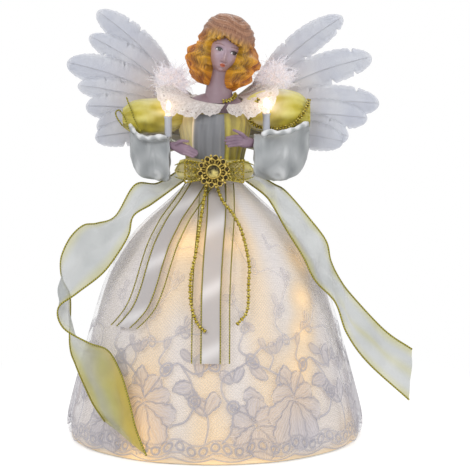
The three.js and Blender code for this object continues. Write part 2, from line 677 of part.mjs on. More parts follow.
function streamerShape({ degrees, shares }, crosses) {
  const rows = rowsBetween(shares[0], shares[shares.length - 1]);
  const turnAt = (share) => {
    const i = Math.max(shares.findIndex((stop) => stop <= share), 1);
    const step = (share - shares[i]) / (shares[i - 1] - shares[i]);
    return radians(mix(degrees[i], degrees[i - 1], step));
  };
  const side = (extra) => (u, v) => {
    const share = rows[Math.round(v * (rows.length - 1))];
    const height = share * bell.height;
    const rise = streamerLift + extra + crestLift(height) + crosses * crossingLift(share);
    const half = Math.min(streamer.width / 2 / -onBell(0, height, rise).y, radians(streamer.mostDegrees));
    return onBell(turnAt(share) + (2 * u - 1) * half, height, rise);
  };
  return slab(streamer.columns, rows.length - 1, side(0), side(streamer.thickness));
}

// A strand of beads over the streamers: angles in degrees at shares of the bell's height.
const strandRuns = {
  left: {
    degrees: [-12, -11, -10, -10, -11, -10, -7, -3],
    shares: [0.97, 0.915, 0.84, 0.73, 0.65, 0.57, 0.5, 0.465],
  },
  right: {
    degrees: [3, 9, 16, 19, 19, 17, 15, 10], shares: [0.97, 0.91, 0.86, 0.8, 0.7, 0.63, 0.54, 0.49],
    leavesStreamer: true,
  },
};

function beadStrand({ degrees, shares, leavesStreamer }) {
  const points = shares.map((share, i) => {
    const height = share * bell.height;
    const drop = leavesStreamer ? (streamer.thickness + clearance) * smooth(-share, -0.82, -0.76) : 0;
    const lift = strandLift + crestLift(height) + crossingLift(share) - drop;
    return onBell(radians(degrees[i]), height, lift);
  });
  return beadedTube(curveThrough(points), strand.beadRadius, strand.wireRadius, strand.pitch);
}

// The bust's shoulder plate, a half dome, by azimuth from the front and elevation.
function onPlate(azimuth, elevation, lift) {
  const reach = Math.cos(elevation);
  return vec(
    (bust.plateWidth + lift) * reach * Math.sin(azimuth),
    -(bust.plateDepth + lift) * reach * Math.cos(azimuth),
    bustBase + (bust.plateRise + lift) * Math.sin(elevation),
  );
}

function plateShape(grow = 0) {
  const { plateSides, plateRings } = facets;
  const rings = Array.from({ length: plateRings }, (_, j) => {
    const elevation = radians((j / plateRings) * 90);
    return Array.from({ length: plateSides }, (_, i) => (
      onPlate((i / plateSides) * 2 * Math.PI, elevation, grow)
    ));
  });
  return loft(rings);
}

const headShares = [0.108, -0.06, 1.517];
const headTurn = new THREE.Quaternion().setFromAxisAngle(vec(0, 1, 0), radians(bust.tiltDegrees));
const onHead = (point) => point.applyQuaternion(headTurn).add(onFigure(headShares));

// Swells and hollows of the face: azimuth and elevation in degrees, their spreads, and the height
// as a share of the head's depth.
const faceShares = [
  [0, -4, 5, 9, 0.15], [0, -11, 6, 5, 0.12], [0, -26, 9, 5, 0.07], [0, -36, 13, 7, 0.08],
  [-19, 3, 8, 6, -0.07], [19, 3, 8, 6, -0.07], [0, 18, 34, 9, 0.04], [-30, -17, 14, 13, 0.05],
  [30, -17, 14, 13, 0.05],
];

function headShape(grow = 0) {
  const { headSides, headRings } = facets;
  const { jawShare, jawTopDegrees, jawFootDegrees } = bust;
  const rings = Array.from({ length: headRings }, (_, j) => {
    const elevation = -90 + ((j + 0.5) / headRings) * 180;
    return Array.from({ length: headSides }, (_, i) => {
      const azimuth = (i / headSides) * 360 - 180;
      const relief = faceShares.reduce((sum, [az, el, wide, tall, height]) => (
        sum + height * Math.exp(-(((azimuth - az) / wide) ** 2) - ((elevation - el) / tall) ** 2)
      ), 0);
      const lower = smooth(-elevation, jawTopDegrees, jawFootDegrees);
      const jaw = 1 - jawShare * lower * Math.cos(radians(azimuth)) ** 2;
      const reach = Math.cos(radians(elevation));
      const lift = relief * bust.headDepth + grow;
      return onHead(vec(
        (bust.headWidth * jaw + grow) * reach * Math.sin(radians(azimuth)),
        -(bust.headDepth + lift) * reach * Math.cos(radians(azimuth)),
        (bust.headHeight + grow) * Math.sin(radians(elevation)),
      ));
    });
  });
  return loft(rings);
}

const neckShares = [[0.06, 0, 0.85], [0.07, 0, 1.2], [0.11, -0.02, 1.45]];

function neckShape(grow = 0) {
  const radiusAt = (share) => bust.neckRadius * (1.25 - 0.25 * smooth(share, 0.3, 0.7)) + grow;
  const curve = curveThrough(neckShares.map(onFigure));
  return tube(curve, radiusAt, facets.neckSides, facets.neckSteps);
}

// The waved bob: locks run down it, and the face, neck and shoulders are cut out of it.
function hairShape(grow = 0) {
  const { crownDegrees, crownFadeDegrees, footDegrees, footFadeDegrees, flareStartDegrees } = hair;
  const rings = Array.from({ length: facets.hairRings }, (_, j) => {
    const elevation = -90 + ((j + 0.5) / facets.hairRings) * 180;
    const crownFade = smooth(elevation, crownDegrees, crownFadeDegrees);
    const fade = crownFade * smooth(elevation, footDegrees, footFadeDegrees);
    const wave = Math.sin(radians(elevation * hair.flareWaves + flareStartDegrees));
    const flare = 1 + hair.flareShare * wave * fade;
    return Array.from({ length: 2 * hair.locks }, (_, i) => {
      const azimuth = (i / (2 * hair.locks)) * 360;
      const sway = hair.swayDegrees * Math.sin(radians(elevation * hair.swayWaves));
      const lock = hair.lockDepth * fade * Math.cos(radians((azimuth + sway) * hair.locks));
      const reach = Math.cos(radians(elevation)) ** 0.9 * flare;
      return onHead(vec(
        (hair.width + lock + grow) * reach * Math.sin(radians(azimuth)),
        -(hair.depth + lock + grow) * reach * Math.cos(radians(azimuth)) + hair.depth * 0.1,
        (hair.height + grow) * Math.sin(radians(elevation)),
      ));
    });
  });
  return loft(rings);
}

function faceOpening() {
  const opening = new THREE.SphereGeometry(1, facets.openingSides, facets.openingRings);
  opening.scale(hair.width * 0.52, hair.depth * 0.8, hair.height * 0.62);
  opening.translate(0, -hair.depth * 1.08, -hair.height * 0.16);
  opening.applyQuaternion(headTurn);
  const centre = onFigure(headShares);
  return opening.translate(centre.x, centre.y, centre.z);
}

function bustShape() {
  return join(plateShape(), neckShape(), headShape());
}

function hairPiece() {
  const inside = [headShape(clearance), neckShape(clearance), plateShape(2 * clearance)];
  return cut(hairShape(), ...inside, faceOpening());
}

// Lace ruffles. The inner edge follows the plate, and the outer edge stands at these places on the
// figure, from the front round to the back.
const ruffleShares = {
  left: [
    [0.09, -0.5, 0.83], [-0.1, -0.52, 0.79], [-0.3, -0.54, 0.78], [-0.5, -0.56, 0.8],
    [-0.63, -0.46, 0.92], [-0.69, -0.2, 1.1], [-0.6, 0.08, 1.13], [-0.4, 0.24, 1.08],
    [-0.22, 0.42, 1.0], [-0.05, 0.47, 0.95],
  ],
  right: [
    [0.14, -0.5, 0.83], [0.3, -0.52, 0.78], [0.45, -0.54, 0.78], [0.6, -0.54, 0.83],
    [0.72, -0.44, 0.98], [0.74, -0.2, 1.14], [0.62, 0.08, 1.15], [0.4, 0.24, 1.08],
    [0.22, 0.42, 1.0], [0.05, 0.47, 0.95],
  ],
};

function ruffle(side, places, startDegrees, grow = 0) {
  const outer = curveThrough(places.map(onFigure));
  const middle = (u, v) => {
    const azimuth = mix(radians(startDegrees), side * radians(collar.endDegrees), u);
    const elevation = radians(mix(collar.lowDegrees, collar.highDegrees, smooth(u, 0, 0.6)));
    const inner = onPlate(azimuth, elevation, clearance + collar.thickness / 2 + grow);
    const edge = outer.getPoint(u);
    const wave = collar.ruffleDepth * v * Math.cos(u * collar.ruffleCount * 2 * Math.PI);
    const spot = vec(mix(inner.x, edge.x, v), mix(inner.y, edge.y, v), mix(inner.z, edge.z, v ** 1.6));
    spot.y -= wave * 0.7;
    spot.z += wave * 0.7;
    return spot;
  };
  return sheet(collar.columns, collar.rows, middle, () => collar.thickness + 2 * grow);
}

function laceCollar(side, grow) {
  const places = side < 0 ? ruffleShares.left : ruffleShares.right;
  return ruffle(side, places, side < 0 ? collar.leftStartDegrees : collar.rightStartDegrees, grow);
}

function necklineBraid() {
  const points = Array.from({ length: neckline.points }, (_, i) => {
    const share = i / (neckline.points - 1);
    const laceDegrees = mix(collar.lowDegrees, collar.highDegrees, smooth(share, 0, 0.9));
    const azimuth = radians(mix(neckline.startDegrees, neckline.endDegrees, share));
    const elevation = radians(laceDegrees + neckline.aboveLaceDegrees);
    return onPlate(azimuth, elevation, braid.beadRadius + clearance);
  });
  return beadedTube(curveThrough(points), braid.beadRadius, braid.coreRadius, braid.pitch);
}

// Arms. The wire, puff and sleeve are in shares of the figure, the last two with half the height
// and half the depth of each oval. The hand is in shares of its own length from the wrist.
const arms = {
  left: {
    side: -1,
    wireShares: [
      [-0.4, 0, 0.81], [-0.73, 0.05, 0.75], [-0.95, 0, 0.6], [-0.9, -0.19, 0.49],
    ],
    wristShares: [-0.7, -0.4, 0.45],
    palmShares: [
      [0, 0, 0], [0.267, -0.2, -0.008], [0.417, -0.333, -0.025], [0.55, -0.411, -0.067],
      [0.65, -0.456, -0.117],
    ],
    knuckleShares: [0.567, -0.444, -0.083],
    tipShares: [
      [0.85, -0.5, -0.133], [0.867, -0.522, -0.17], [0.833, -0.522, -0.207],
      [0.783, -0.511, -0.237],
    ],
    thumbShares: [
      [0.4, -0.4, 0.017], [0.533, -0.467, 0.083], [0.683, -0.511, 0.075],
    ],
    puffShares: [
      [-0.28, 0, 0.82, 0.1, 0.13], [-0.5, -0.02, 0.8, 0.2, 0.26], [-0.75, 0, 0.785, 0.22, 0.29],
      [-0.97, 0, 0.775, 0.2, 0.26], [-1.1, 0, 0.77, 0.11, 0.14],
    ],
    sleeveShares: [
      [-1.01, -0.1, 0.47, 0.17, 0.12], [-0.94, -0.15, 0.37, 0.25, 0.18],
      [-0.79, -0.3, 0.3, 0.265, 0.22], [-0.64, -0.45, 0.285, 0.265, 0.23],
      [-0.53, -0.55, 0.285, 0.265, 0.21],
    ],
  },
  right: {
    side: 1,
    wireShares: [
      [0.4, 0, 0.81], [0.75, 0.05, 0.78], [1, 0, 0.63], [0.94, -0.19, 0.53],
    ],
    wristShares: [0.7, -0.38, 0.475],
    palmShares: [
      [0, 0, 0], [-0.3, -0.133, -0.008], [-0.45, -0.267, 0], [-0.575, -0.389, 0.025],
      [-0.7, -0.467, 0.033],
    ],
    knuckleShares: [-0.617, -0.456, 0.042],
    tipShares: [
      [-0.958, -0.533, 0.1], [-0.983, -0.556, 0.042], [-0.958, -0.556, -0.017],
      [-0.917, -0.544, -0.067],
    ],
    thumbShares: [
      [-0.5, -0.322, 0.017], [-0.617, -0.489, 0.167], [-0.817, -0.533, 0.267],
    ],
    puffShares: [
      [0.28, 0, 0.84, 0.1, 0.13], [0.5, -0.02, 0.84, 0.23, 0.27], [0.75, 0, 0.86, 0.26, 0.3],
      [1, 0, 0.84, 0.23, 0.27], [1.14, 0, 0.8, 0.13, 0.15],
    ],
    sleeveShares: [
      [1.13, -0.08, 0.55, 0.15, 0.12], [1.05, -0.13, 0.43, 0.28, 0.18],
      [0.87, -0.28, 0.32, 0.29, 0.22], [0.67, -0.43, 0.3, 0.275, 0.23],
      [0.47, -0.54, 0.325, 0.25, 0.21],
    ],
  },
};

// A place in a hand from its three shares of the hand's length.
function inHand({ wristShares }) {
  const wrist = onFigure(wristShares);
  return ([x, y, z]) => vec(x, y, z).multiplyScalar(hand.length).add(wrist);
}

function armWire(grow = 0) {
  const reach = (arm) => {
    const { wireShares, palmShares } = arm;
    const [stub, palm] = palmShares.slice(0, 2).map(inHand(arm));
    const end = stub.clone().addScaledVector(palm.sub(stub).normalize(), -clearance);
    const [shoulder, ...bends] = wireShares.map(onFigure);
    shoulder.z = wireHeight;
    return [shoulder, ...bends, end];
  };
  const points = [...reach(arms.left).reverse(), vec(0, 0, wireHeight), ...reach(arms.right)];
  const curve = new THREE.CatmullRomCurve3(points, false, 'catmullrom', armBendTension);
  return tube(curve, () => wire.armRadius + grow, facets.armWireSides, facets.armWireSteps);
}

// A row of ellipses along the arm, upright and square to the figure's front.
function armLoft(rows, sides, grow, wave) {
  return loft(rows.map(([x, y, z, tall, deep]) => {
    const up = vec(0, 0, tall * figure.torso + grow);
    const forward = vec(0, deep * figure.depth + grow, 0);
    return ring(onFigure([x, y, z]), forward, up, sides, wave);
  }));
}

function puffShape({ puffShares }, grow = 0) {
  const depth = puff.pleatDepth / figure.depth;
  const pleat = (angle) => 1 - depth * (1 + Math.cos(angle * puff.pleats));
  return armLoft(puffShares, facets.puffSides, grow, pleat);
}

function sleeveOutside({ sleeveShares }, grow = 0) {
  return armLoft(sleeveShares, facets.sleeveSides, grow);
}

function sleeveInside({ side, sleeveShares }) {
  const mouth = [...sleeveShares[4]];
  mouth[0] -= (side * overrun) / figure.halfWidth;
  return armLoft([sleeveShares[2], sleeveShares[3], mouth], facets.sleeveSides, -sleeveWall);
}

function handShape(arm) {
  const { length, fingerSpreadShare, taperShare } = hand;
  const [wrist, palmWidth, palmThickness, finger, thumb] = [
    hand.wristShare, hand.palmWidthShare, hand.palmThicknessShare, hand.fingerShare, hand.thumbShare,
  ].map((share) => share * length);
  const { palmSides, fingerSides, fingerSteps } = facets;
  const place = inHand(arm);
  const spots = arm.palmShares.map(place);
  const sizes = [
    [wrist, wrist], [wrist, wrist * 0.9], [palmWidth * 0.8, palmThickness],
    [palmWidth, palmThickness], [palmWidth * 0.85, palmThickness * 0.7],
  ];
  const curve = curveThrough(spots);
  const palm = loft(spots.map((spot, i) => {
    const way = curve.getTangent(i / (spots.length - 1));
    const up = vec(0, 0, 1).addScaledVector(way, -way.z).normalize();
    const across = way.clone().cross(up);
    return ring(spot, across.multiplyScalar(sizes[i][1]), up.multiplyScalar(sizes[i][0]), palmSides);
  }));
  const digit = (points, radius) => (
    tube(curveThrough(points), (share) => radius * (1 - taperShare * share ** 3), fingerSides, fingerSteps)
  );
  const fingers = arm.tipShares.map((tip, i) => {
    const end = place(tip);
    const root = place(arm.knuckleShares);
    root.z += mix(1, -1, i / (arm.tipShares.length - 1)) * fingerSpreadShare * palmWidth;
    const bend = root.clone().lerp(end, 0.5);
    bend.z += finger * 0.5;
    return digit([root, bend, end], finger);
  });
  return join(palm, digit(arm.thumbShares.map(place), thumb), ...fingers);
}

// The sequin braid round the right puff: down its inner side, under it and up its outer side.
const puffBraidShares = [
  [0.52, -0.25, 0.99], [0.44, -0.26, 0.86], [0.42, -0.26, 0.74], [0.5, -0.26, 0.67],
  [0.62, -0.26, 0.645], [0.78, -0.27, 0.65], [0.93, -0.28, 0.69], [1.02, -0.28, 0.78],
  [1.09, -0.24, 0.88], [1.12, -0.16, 0.98],
];

function puffBraid() {
  const curve = curveThrough(puffBraidShares.map(onFigure));
  return beadedTube(curve, braid.beadRadius, braid.coreRadius, braid.pitch);
}

// The groove that the braid presses into the puff and the lace beside it.
function puffBraidGroove() {
  const curve = curveThrough(puffBraidShares.map(onFigure));
  return tube(curve, () => braid.beadRadius + clearance, facets.grooveSides, facets.grooveSteps);
}

// Wings. Depths are counted forward from the hinge line, which lies in the backing's rear face.
const hingeDepth = bodice.chestDepth + 3 * clearance + wing.backingThickness + 2 * overrun;
const backingFront = hingeDepth - wing.backingThickness;

function backPatch() {
  const width = 2 * (wing.hingeOffset - clearance);
  const low = chestHeight - wing.patchHeight / 2;
  const block = new THREE.BoxGeometry(width, hingeDepth, wing.patchHeight);
  block.translate(0, hingeDepth / 2, low + wing.patchHeight / 2);
  return cut(block, bodiceShape(clearance), plateShape(clearance));
}

const backingShares = [[0, -0.22], [1, -0.4], [1.05, 0.02], [0.82, 0.6], [0.35, 0.42], [0, 0.22]];

function wingBacking(side) {
  const outline = new THREE.Shape(backingShares.map(([across, up]) => new THREE.Vector2(
    side * (wing.hingeOffset + clearance + across * wing.backingReach),
    up * wing.backingRise,
  )));
  const plate = new THREE.ExtrudeGeometry(outline, { depth: wing.backingThickness, bevelEnabled: false });
  return welded(plate.rotateX(Math.PI / 2).translate(0, hingeDepth, chestHeight));
}

// Feathers: where each tip stands, as shares of the span out from the root and up, its width as a
// share of its length, and how far down the root line it starts. The first lies nearest the backing.
const featherShares = {
  left: [
    [-0.65, 0.79, 0.23, 0], [-0.71, 0.61, 0.22, 0.12], [-0.88, 0.42, 0.25, 0.25],
    [-0.8, 0.25, 0.22, 0.4], [-0.74, 0.1, 0.29, 0.6], [-0.66, -0.05, 0.36, 0.8], [-0.67, -0.13, 0.3, 1],
  ],
  right: [
    [0.41, 0.51, 0.24, 0], [0.72, 0.75, 0.22, 0.1], [0.94, 0.46, 0.24, 0.22], [1.0, 0.12, 0.24, 0.4],
    [0.91, 0.01, 0.25, 0.6], [0.77, -0.12, 0.3, 0.8], [0.73, -0.16, 0.3, 1],
  ],
};

function feather(side, [tipAcross, tipUp, widthShare, rootShare], layer) {
  const rootX = side * wing.rootOffset;
  const rootZ = bell.height + wing.rootRise;
  const root = vec(rootX, 0, rootZ + wing.rootSpread * (0.5 - rootShare));
  const tip = vec(rootX + tipAcross * wing.span, 0, rootZ + tipUp * wing.span);
  const way = tip.clone().sub(root);
  const length = way.length();
  const across = vec(-way.z, 0, way.x).normalize();
  const depth = backingFront - clearance - wing.thickness / 2 - layer * (wing.thickness + clearance);
  const middle = (u, v) => {
    const fullness = Math.sin(Math.PI * v ** 1.15) ** 0.65;
    const half = Math.max(wing.quill / 2, (widthShare * length * fullness) / 2);
    const bend = side * wing.bendShare * length * Math.sin(Math.PI * v);
    const spot = root.clone().addScaledVector(way, v);
    spot.addScaledVector(across, bend + (2 * u - 1) * half);
    const reach = Math.max(0, Math.abs(spot.x) / (wing.hingeOffset + wing.backingReach) - 1.06);
    spot.y = depth + wing.sweepBack * reach ** 1.5;
    return spot;
  };
  const thicknessAt = (u) => mix(wing.thickness, wing.edge, Math.abs(2 * u - 1));
  return sheet(2, facets.featherRows, middle, thicknessAt);
}

// A tuft of down in front of the feathers' roots, and its rings' widths and places through it.
const downShares = { left: [-0.52, 1.2], right: [0.72, 1.24] };
const downRingShares = [[0.35, -0.5], [0.95, -0.2], [1, 0.2], [0.8, 0.5]];

function downTuft(side) {
  const [across, up] = side < 0 ? downShares.left : downShares.right;
  const front = backingFront - clearance - 3 * (wing.thickness + clearance);
  const centre = onFigure([across, 0, up]);
  const depth = down.spikeDepth / down.radius;
  const spiky = (angle) => 1 - depth * (0.5 + 0.5 * Math.cos(angle * down.spikes));
  return loft(downRingShares.map(([width, offset]) => {
    const spot = vec(centre.x, front + (offset - 0.5) * down.thickness, centre.z);
    const reach = width * down.radius;
    return ring(spot, vec(reach, 0, 0), vec(0, 0, reach), 2 * down.spikes, spiky);
  }));
}

addPiece('bell_form', bellForm(), 'form');
addPiece('wire_harness', wireHarness(), 'wire');
lampPlaces.forEach(({ spot, outward }, i) => {
  addPiece(`skirt_lamp_${i + 1}`, aim(pushInLamp(), spot, outward), 'lamp');
});
shoulderLamps.forEach((place) => addPiece(place.name, placedUprightLamp(place), 'lamp'));
addPiece('lining_skirt', skirt(lining, clearance, () => lining.hemRise, () => 0), 'lining');
addPiece('lace_skirt', skirt(lace, laceLift, scallop, foldLift), 'lace');
const armWires = [armWire(clearance), ...leadShapes(clearance)];
addPiece('bodice', cut(bodiceShape(), neckSpace(), ...armWires), 'organza');
addPiece('front_panel', cut(frontPanel(), laceCollar(-1, clearance), laceCollar(1, clearance)), 'satin');
addPiece('waist_band', waistBand(), 'organza');
addPiece('lurex_bow', lurexBowShape(), 'gold');
addPiece('brooch', broochShape(), 'antiqueGold');
addPiece('brooch_stone', broochStone(), 'stone');
addPiece('left_streamer', streamerShape(streamerRuns.left, 1), 'satin');
addPiece('centre_streamer', streamerShape(streamerRuns.centre, 0), 'satin');
addPiece('left_bead_strand', beadStrand(strandRuns.left), 'gold');
addPiece('right_bead_strand', beadStrand(strandRuns.right), 'gold');
addPiece('bust', bustShape(), 'resin');
addPiece('hair', hairPiece(), 'hair');
addPiece('neckline_braid', necklineBraid(), 'gold');
addPiece('arm_wire', armWire(), 'wire');
addPiece('right_puff_braid', puffBraid(), 'gold');
addPiece('back_patch', backPatch(), 'felt');

const lampSpaces = shoulderLamps.map((place) => placedUprightLamp(place, clearance));
const body = [bodiceShape(clearance), plateShape(clearance)];
for (const [name, arm] of Object.entries(arms)) {
  const { side } = arm;
  const trim = side > 0 ? [puffBraidGroove()] : [];
  const around = [...body, laceCollar(side, clearance), ...armWires, ...lampSpaces, ...trim];
  const inSleeve = [sleeveInside(arm), puffShape(arm, clearance), ...armWires, ...lampSpaces, ...trim];
  addPiece(`${name}_hand`, handShape(arm), 'resin');
  addPiece(`${name}_puff`, cut(puffShape(arm), ...around), 'organza');
  addPiece(`${name}_sleeve`, cut(sleeveOutside(arm), ...inSleeve), 'satin');
  const lace = cut(laceCollar(side), hairShape(clearance), ...lampSpaces, ...trim);
  addPiece(`${name}_lace_collar`, lace, 'lace');
  addPiece(`${name}_bow_loop`, cut(organzaLoop(side), sleeveOutside(arm, clearance)), 'organza');
  addPiece(`${name}_ribbon_tail`, ribbonTail(tailShares[name], side), 'sheer');
  addPiece(`${name}_wing_backing`, wingBacking(side), 'felt');
  featherShares[name].forEach((shares, i) => {
    addPiece(`${name}_feather_${i + 1}`, feather(side, shares, i), 'feather');
  });
  addPiece(`${name}_down`, downTuft(side), 'feather');
}

export default topper;
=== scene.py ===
"""Angel tree topper: lit bell form under lining and lace, resin bust and hands, satin sleeves,
organza bow, brooch and feather wings. Shapes are worked out in millimetres and become metres
when the mesh is made. The frame faces -Y, left is -X."""
import bmesh
import bpy
import numpy as np
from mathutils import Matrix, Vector


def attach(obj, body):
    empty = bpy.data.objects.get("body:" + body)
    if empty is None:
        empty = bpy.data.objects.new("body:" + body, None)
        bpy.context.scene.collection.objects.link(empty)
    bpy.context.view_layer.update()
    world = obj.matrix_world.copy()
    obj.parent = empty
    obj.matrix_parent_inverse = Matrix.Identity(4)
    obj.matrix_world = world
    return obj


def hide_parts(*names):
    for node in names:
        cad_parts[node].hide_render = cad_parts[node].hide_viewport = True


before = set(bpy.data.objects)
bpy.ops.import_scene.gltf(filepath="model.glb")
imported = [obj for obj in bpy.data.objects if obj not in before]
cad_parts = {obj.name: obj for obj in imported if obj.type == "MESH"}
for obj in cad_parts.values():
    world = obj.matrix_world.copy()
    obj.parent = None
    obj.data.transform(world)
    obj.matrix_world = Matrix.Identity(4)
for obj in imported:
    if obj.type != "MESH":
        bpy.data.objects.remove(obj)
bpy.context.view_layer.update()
MM = 0.001
RNG = np.random.default_rng(7)

# Sizes shared with the solids, in millimetres.
BELL_HEIGHT, HEM_RADIUS, WAIST_RADIUS = 182.0, 104.0, 18.0
BELL_PROFILE = np.array([
    [0, 1], [0.08, 0.99], [0.25, 0.9], [0.47, 0.777], [0.62, 0.676], [0.74, 0.536],
    [0.835, 0.369], [0.92, 0.17], [1, 0]])
FIGURE = np.array([60.0, 40.0, 60.0])
FIGURE_BASE = np.array([0.0, 0.0, BELL_HEIGHT])
FOLDS, FOLD_DEPTH = 12, 4.2
SCALLOPS, SCALLOP_DEPTH, LACE_HEM = 24, 3.0, 2.2
LINING_HEM, LINING_LIFT, LACE_LIFT, STREAMER_LIFT, STRAND_LIFT = 0.8, 0.6, 1.5, 2.4, 4.3
BAND_BASE, BAND_HEIGHT, BOW_HEIGHT, BAND_FRONT = 184.0, 14.0, 191.0, 23.9
# The back of the lurex bow: band, gap, loops and the loops' front.
BOW_BACK = BAND_FRONT + 0.6 + 9.2 + 0.9
BUST_BASE = 231.4
HEAD_CENTRE = FIGURE_BASE + np.array([0.108, -0.06, 1.517]) * FIGURE
HEAD_TILT = np.radians(16)
LEFT_BULB, RIGHT_BULB = np.array([-32.8, -16, 234.5]), np.array([36.7, -16, 236.8])
# Which way a side lies along X.
SIGN = {"left": -1, "right": 1}


# Camera.

def place_camera():
    """The photograph's view: one metre away, almost level, a long lens."""
    camera = bpy.data.objects.new("camera", bpy.data.cameras.new("camera"))
    bpy.context.scene.collection.objects.link(camera)
    camera.data.lens = 105.69
    camera.data.sensor_width = 36
    target = Vector((0.014478, 0, 0.143515))
    rise = np.radians(4.785)
    camera.location = target + Vector((0, -np.cos(rise), np.sin(rise)))
    camera.rotation_euler = (target - camera.location).to_track_quat("-Z", "Y").to_euler()
    bpy.context.scene.camera = camera


place_camera()


# Curves and surfaces.

def smooth(value, low, high):
    """0 below low, 1 above high, and an S curve between."""
    share = np.clip((np.asarray(value, float) - low) / (high - low), 0, 1)
    return share * share * (3 - 2 * share)


def bell(value, spread):
    """A bell curve: 1 where value is 0, falling off over the spread."""
    return np.exp(-(value / spread) ** 2)


def along(count, first=0.0, last=1.0):
    """Even steps over a grid's columns."""
    return np.linspace(first, last, count)[None]


def down(count, first=0.0, last=1.0):
    """Even steps over a grid's rows."""
    return np.linspace(first, last, count)[:, None]


def angles(count):
    """Even angles once round, for the columns of a wrapped grid."""
    return np.linspace(0, 2 * np.pi, count, endpoint=False)[None]


def surface(x, y, z):
    """A grid of points from its three axes, each spread over all rows and columns."""
    return np.stack(np.broadcast_arrays(x, y, z), -1)


def spline(points, share):
    """Catmull-Rom curve through the points, at shares of the way along them."""
    p = np.asarray(points, float)
    p = np.concatenate([2 * p[:1] - p[1:2], p, 2 * p[-1:] - p[-2:-1]])
    at = np.clip(share, 0, 1) * (len(p) - 3)
    i = np.minimum(at.astype(int), len(p) - 4)
    f = (at - i)[..., None]
    a, b, c, d = p[i], p[i + 1], p[i + 2], p[i + 3]
    return b + f / 2 * (c - a + f * (2 * a - 5 * b + 4 * c - d + f * (3 * (b - c) + d - a)))


def run_along(path):
    """The length run so far at each point of a path."""
    return np.concatenate([[0], np.cumsum(np.linalg.norm(np.diff(path, axis=0), axis=1))])


def even_path(points, count):
    """The curve through the points, sampled at even steps of its length."""
    dense = spline(points, np.linspace(0, 1, 60 * len(points)))
    run = run_along(dense)
    at = np.linspace(0, run[-1], count)
    return np.stack([np.interp(at, run, dense[:, k]) for k in range(3)], -1)


def path_length(path):
    """The sum of the steps between a path's points."""
    return float(np.linalg.norm(np.diff(path, axis=0), axis=1).sum())


def unit(v):
    """Vectors of length one, in the same directions."""
    return v / np.maximum(np.linalg.norm(v, axis=-1, keepdims=True), 1e-9)


def on_figure(shares):
    """A place on the figure from its shares of half width, depth and torso."""
    return np.asarray(shares, float) * FIGURE + FIGURE_BASE


PROFILE_TABLE = spline(BELL_PROFILE, np.linspace(0, 1, 400)) * [BELL_HEIGHT, HEM_RADIUS - WAIST_RADIUS]
PROFILE_TABLE[:, 1] += WAIST_RADIUS
PROFILE_AWAY = unit(np.gradient(PROFILE_TABLE, axis=0))


def on_bell(angle, height, lift):
    """The point at an angle from the front and a height on the bell's smooth profile, moved away
    from the wall by lift, square to the profile."""
    radius, rise, run = (np.interp(height, PROFILE_TABLE[:, 0], values) for values in (
        PROFILE_TABLE[:, 1], PROFILE_AWAY[:, 0], PROFILE_AWAY[:, 1]))
    reach = radius + lift * rise
    return surface(reach * np.sin(angle), -reach * np.cos(angle), height - lift * run)


def crest_lift(height):
    """How far the fold crests stand off the bell: nothing at the waist, full at the hem."""
    return FOLD_DEPTH * np.clip(1 - height / BELL_HEIGHT, 0, 1) ** 0.8


def fold_phase(angle):
    """Where in its fold each angle lies: twelve folds round the bell that drift with the angle."""
    return FOLDS * angle + np.sin(3 * angle)


def fold_lift(angle, height):
    """Uneven folds round the bell: a cosine of the fold phase, its depth drifting with the angle."""
    wave = 0.5 + 0.5 * np.cos(fold_phase(angle))
    evenness = 0.82 - 0.18 * np.sin(5 * angle + 1)
    return crest_lift(height) * wave * evenness


# Making meshes.

def patch(points, uv=None, wrap=False, flip=False, **marks):
    """One grid of points, rows by columns, as quads; a wrapped grid joins its last column to its
    first. marks are values or colours per point that materials read."""
    rows, columns = points.shape[:2]
    r, c = np.meshgrid(np.arange(rows - 1), np.arange(columns - (not wrap)), indexing="ij")
    n = (c + 1) % columns
    low, high = r * columns, (r + 1) * columns
    quads = np.stack([low + c, low + n, high + n, high + c], -1).reshape(-1, 4)
    if flip:
        quads = quads[:, ::-1]
    uv = uv or (along(columns), down(rows))
    uv = np.stack([np.broadcast_to(k, (rows, columns)) for k in uv], -1).reshape(-1, 2)
    flat = {}
    for key, value in marks.items():
        value = np.asarray(value, float)
        deep = (3,) if value.ndim and value.shape[-1] == 3 else ()
        flat[key] = np.broadcast_to(value, (rows, columns) + deep).reshape((-1,) + deep)
    return {"points": points.reshape(-1, 3), "quads": quads, "uv": uv, "marks": flat}


def tube(path, radius, sides, across=None, **marks):
    """A round or oval profile carried along a path: at each point, cosine and sine of the angle
    times the radius along two directions square to the path. Ends close where radius is 0."""
    path = np.asarray(path, float)
    way = unit(np.gradient(path, axis=0))
    if across is None:
        first = unit(np.cross(way, np.array([0.31, 0.43, 0.85])))
    else:
        first = unit(across - way * (across * way).sum(-1, keepdims=True))
    second = np.cross(way, first)
    turn = angles(sides)[..., None]
    size = np.asarray(radius, float)
    if size.ndim < 2:
        size = np.broadcast_to(size, (2, len(path))).T
    wide, high = size[:, 0, None, None], size[:, 1, None, None]
    grid = (path[:, None] + wide * np.cos(turn) * first[:, None]
            + high * np.sin(turn) * second[:, None])
    marks = {k: np.asarray(v)[:, None] if np.shape(v) == (len(path),) else v for k, v in marks.items()}
    return patch(grid, uv=(along(sides), run_along(path)[:, None]), wrap=True, **marks)


def closed_tube(path, radius, sides, **marks):
    """A tube whose ends round off to a point."""
    from_end = (np.abs(np.linspace(-1, 1, len(path))) - 0.9).clip(0)
    ends = np.sqrt(np.clip(1 - from_end ** 2 / 0.01, 0, 1))
    radius = np.asarray(radius, float)
    return tube(path, radius * (ends[:, None] if radius.ndim == 2 else ends), sides, **marks)


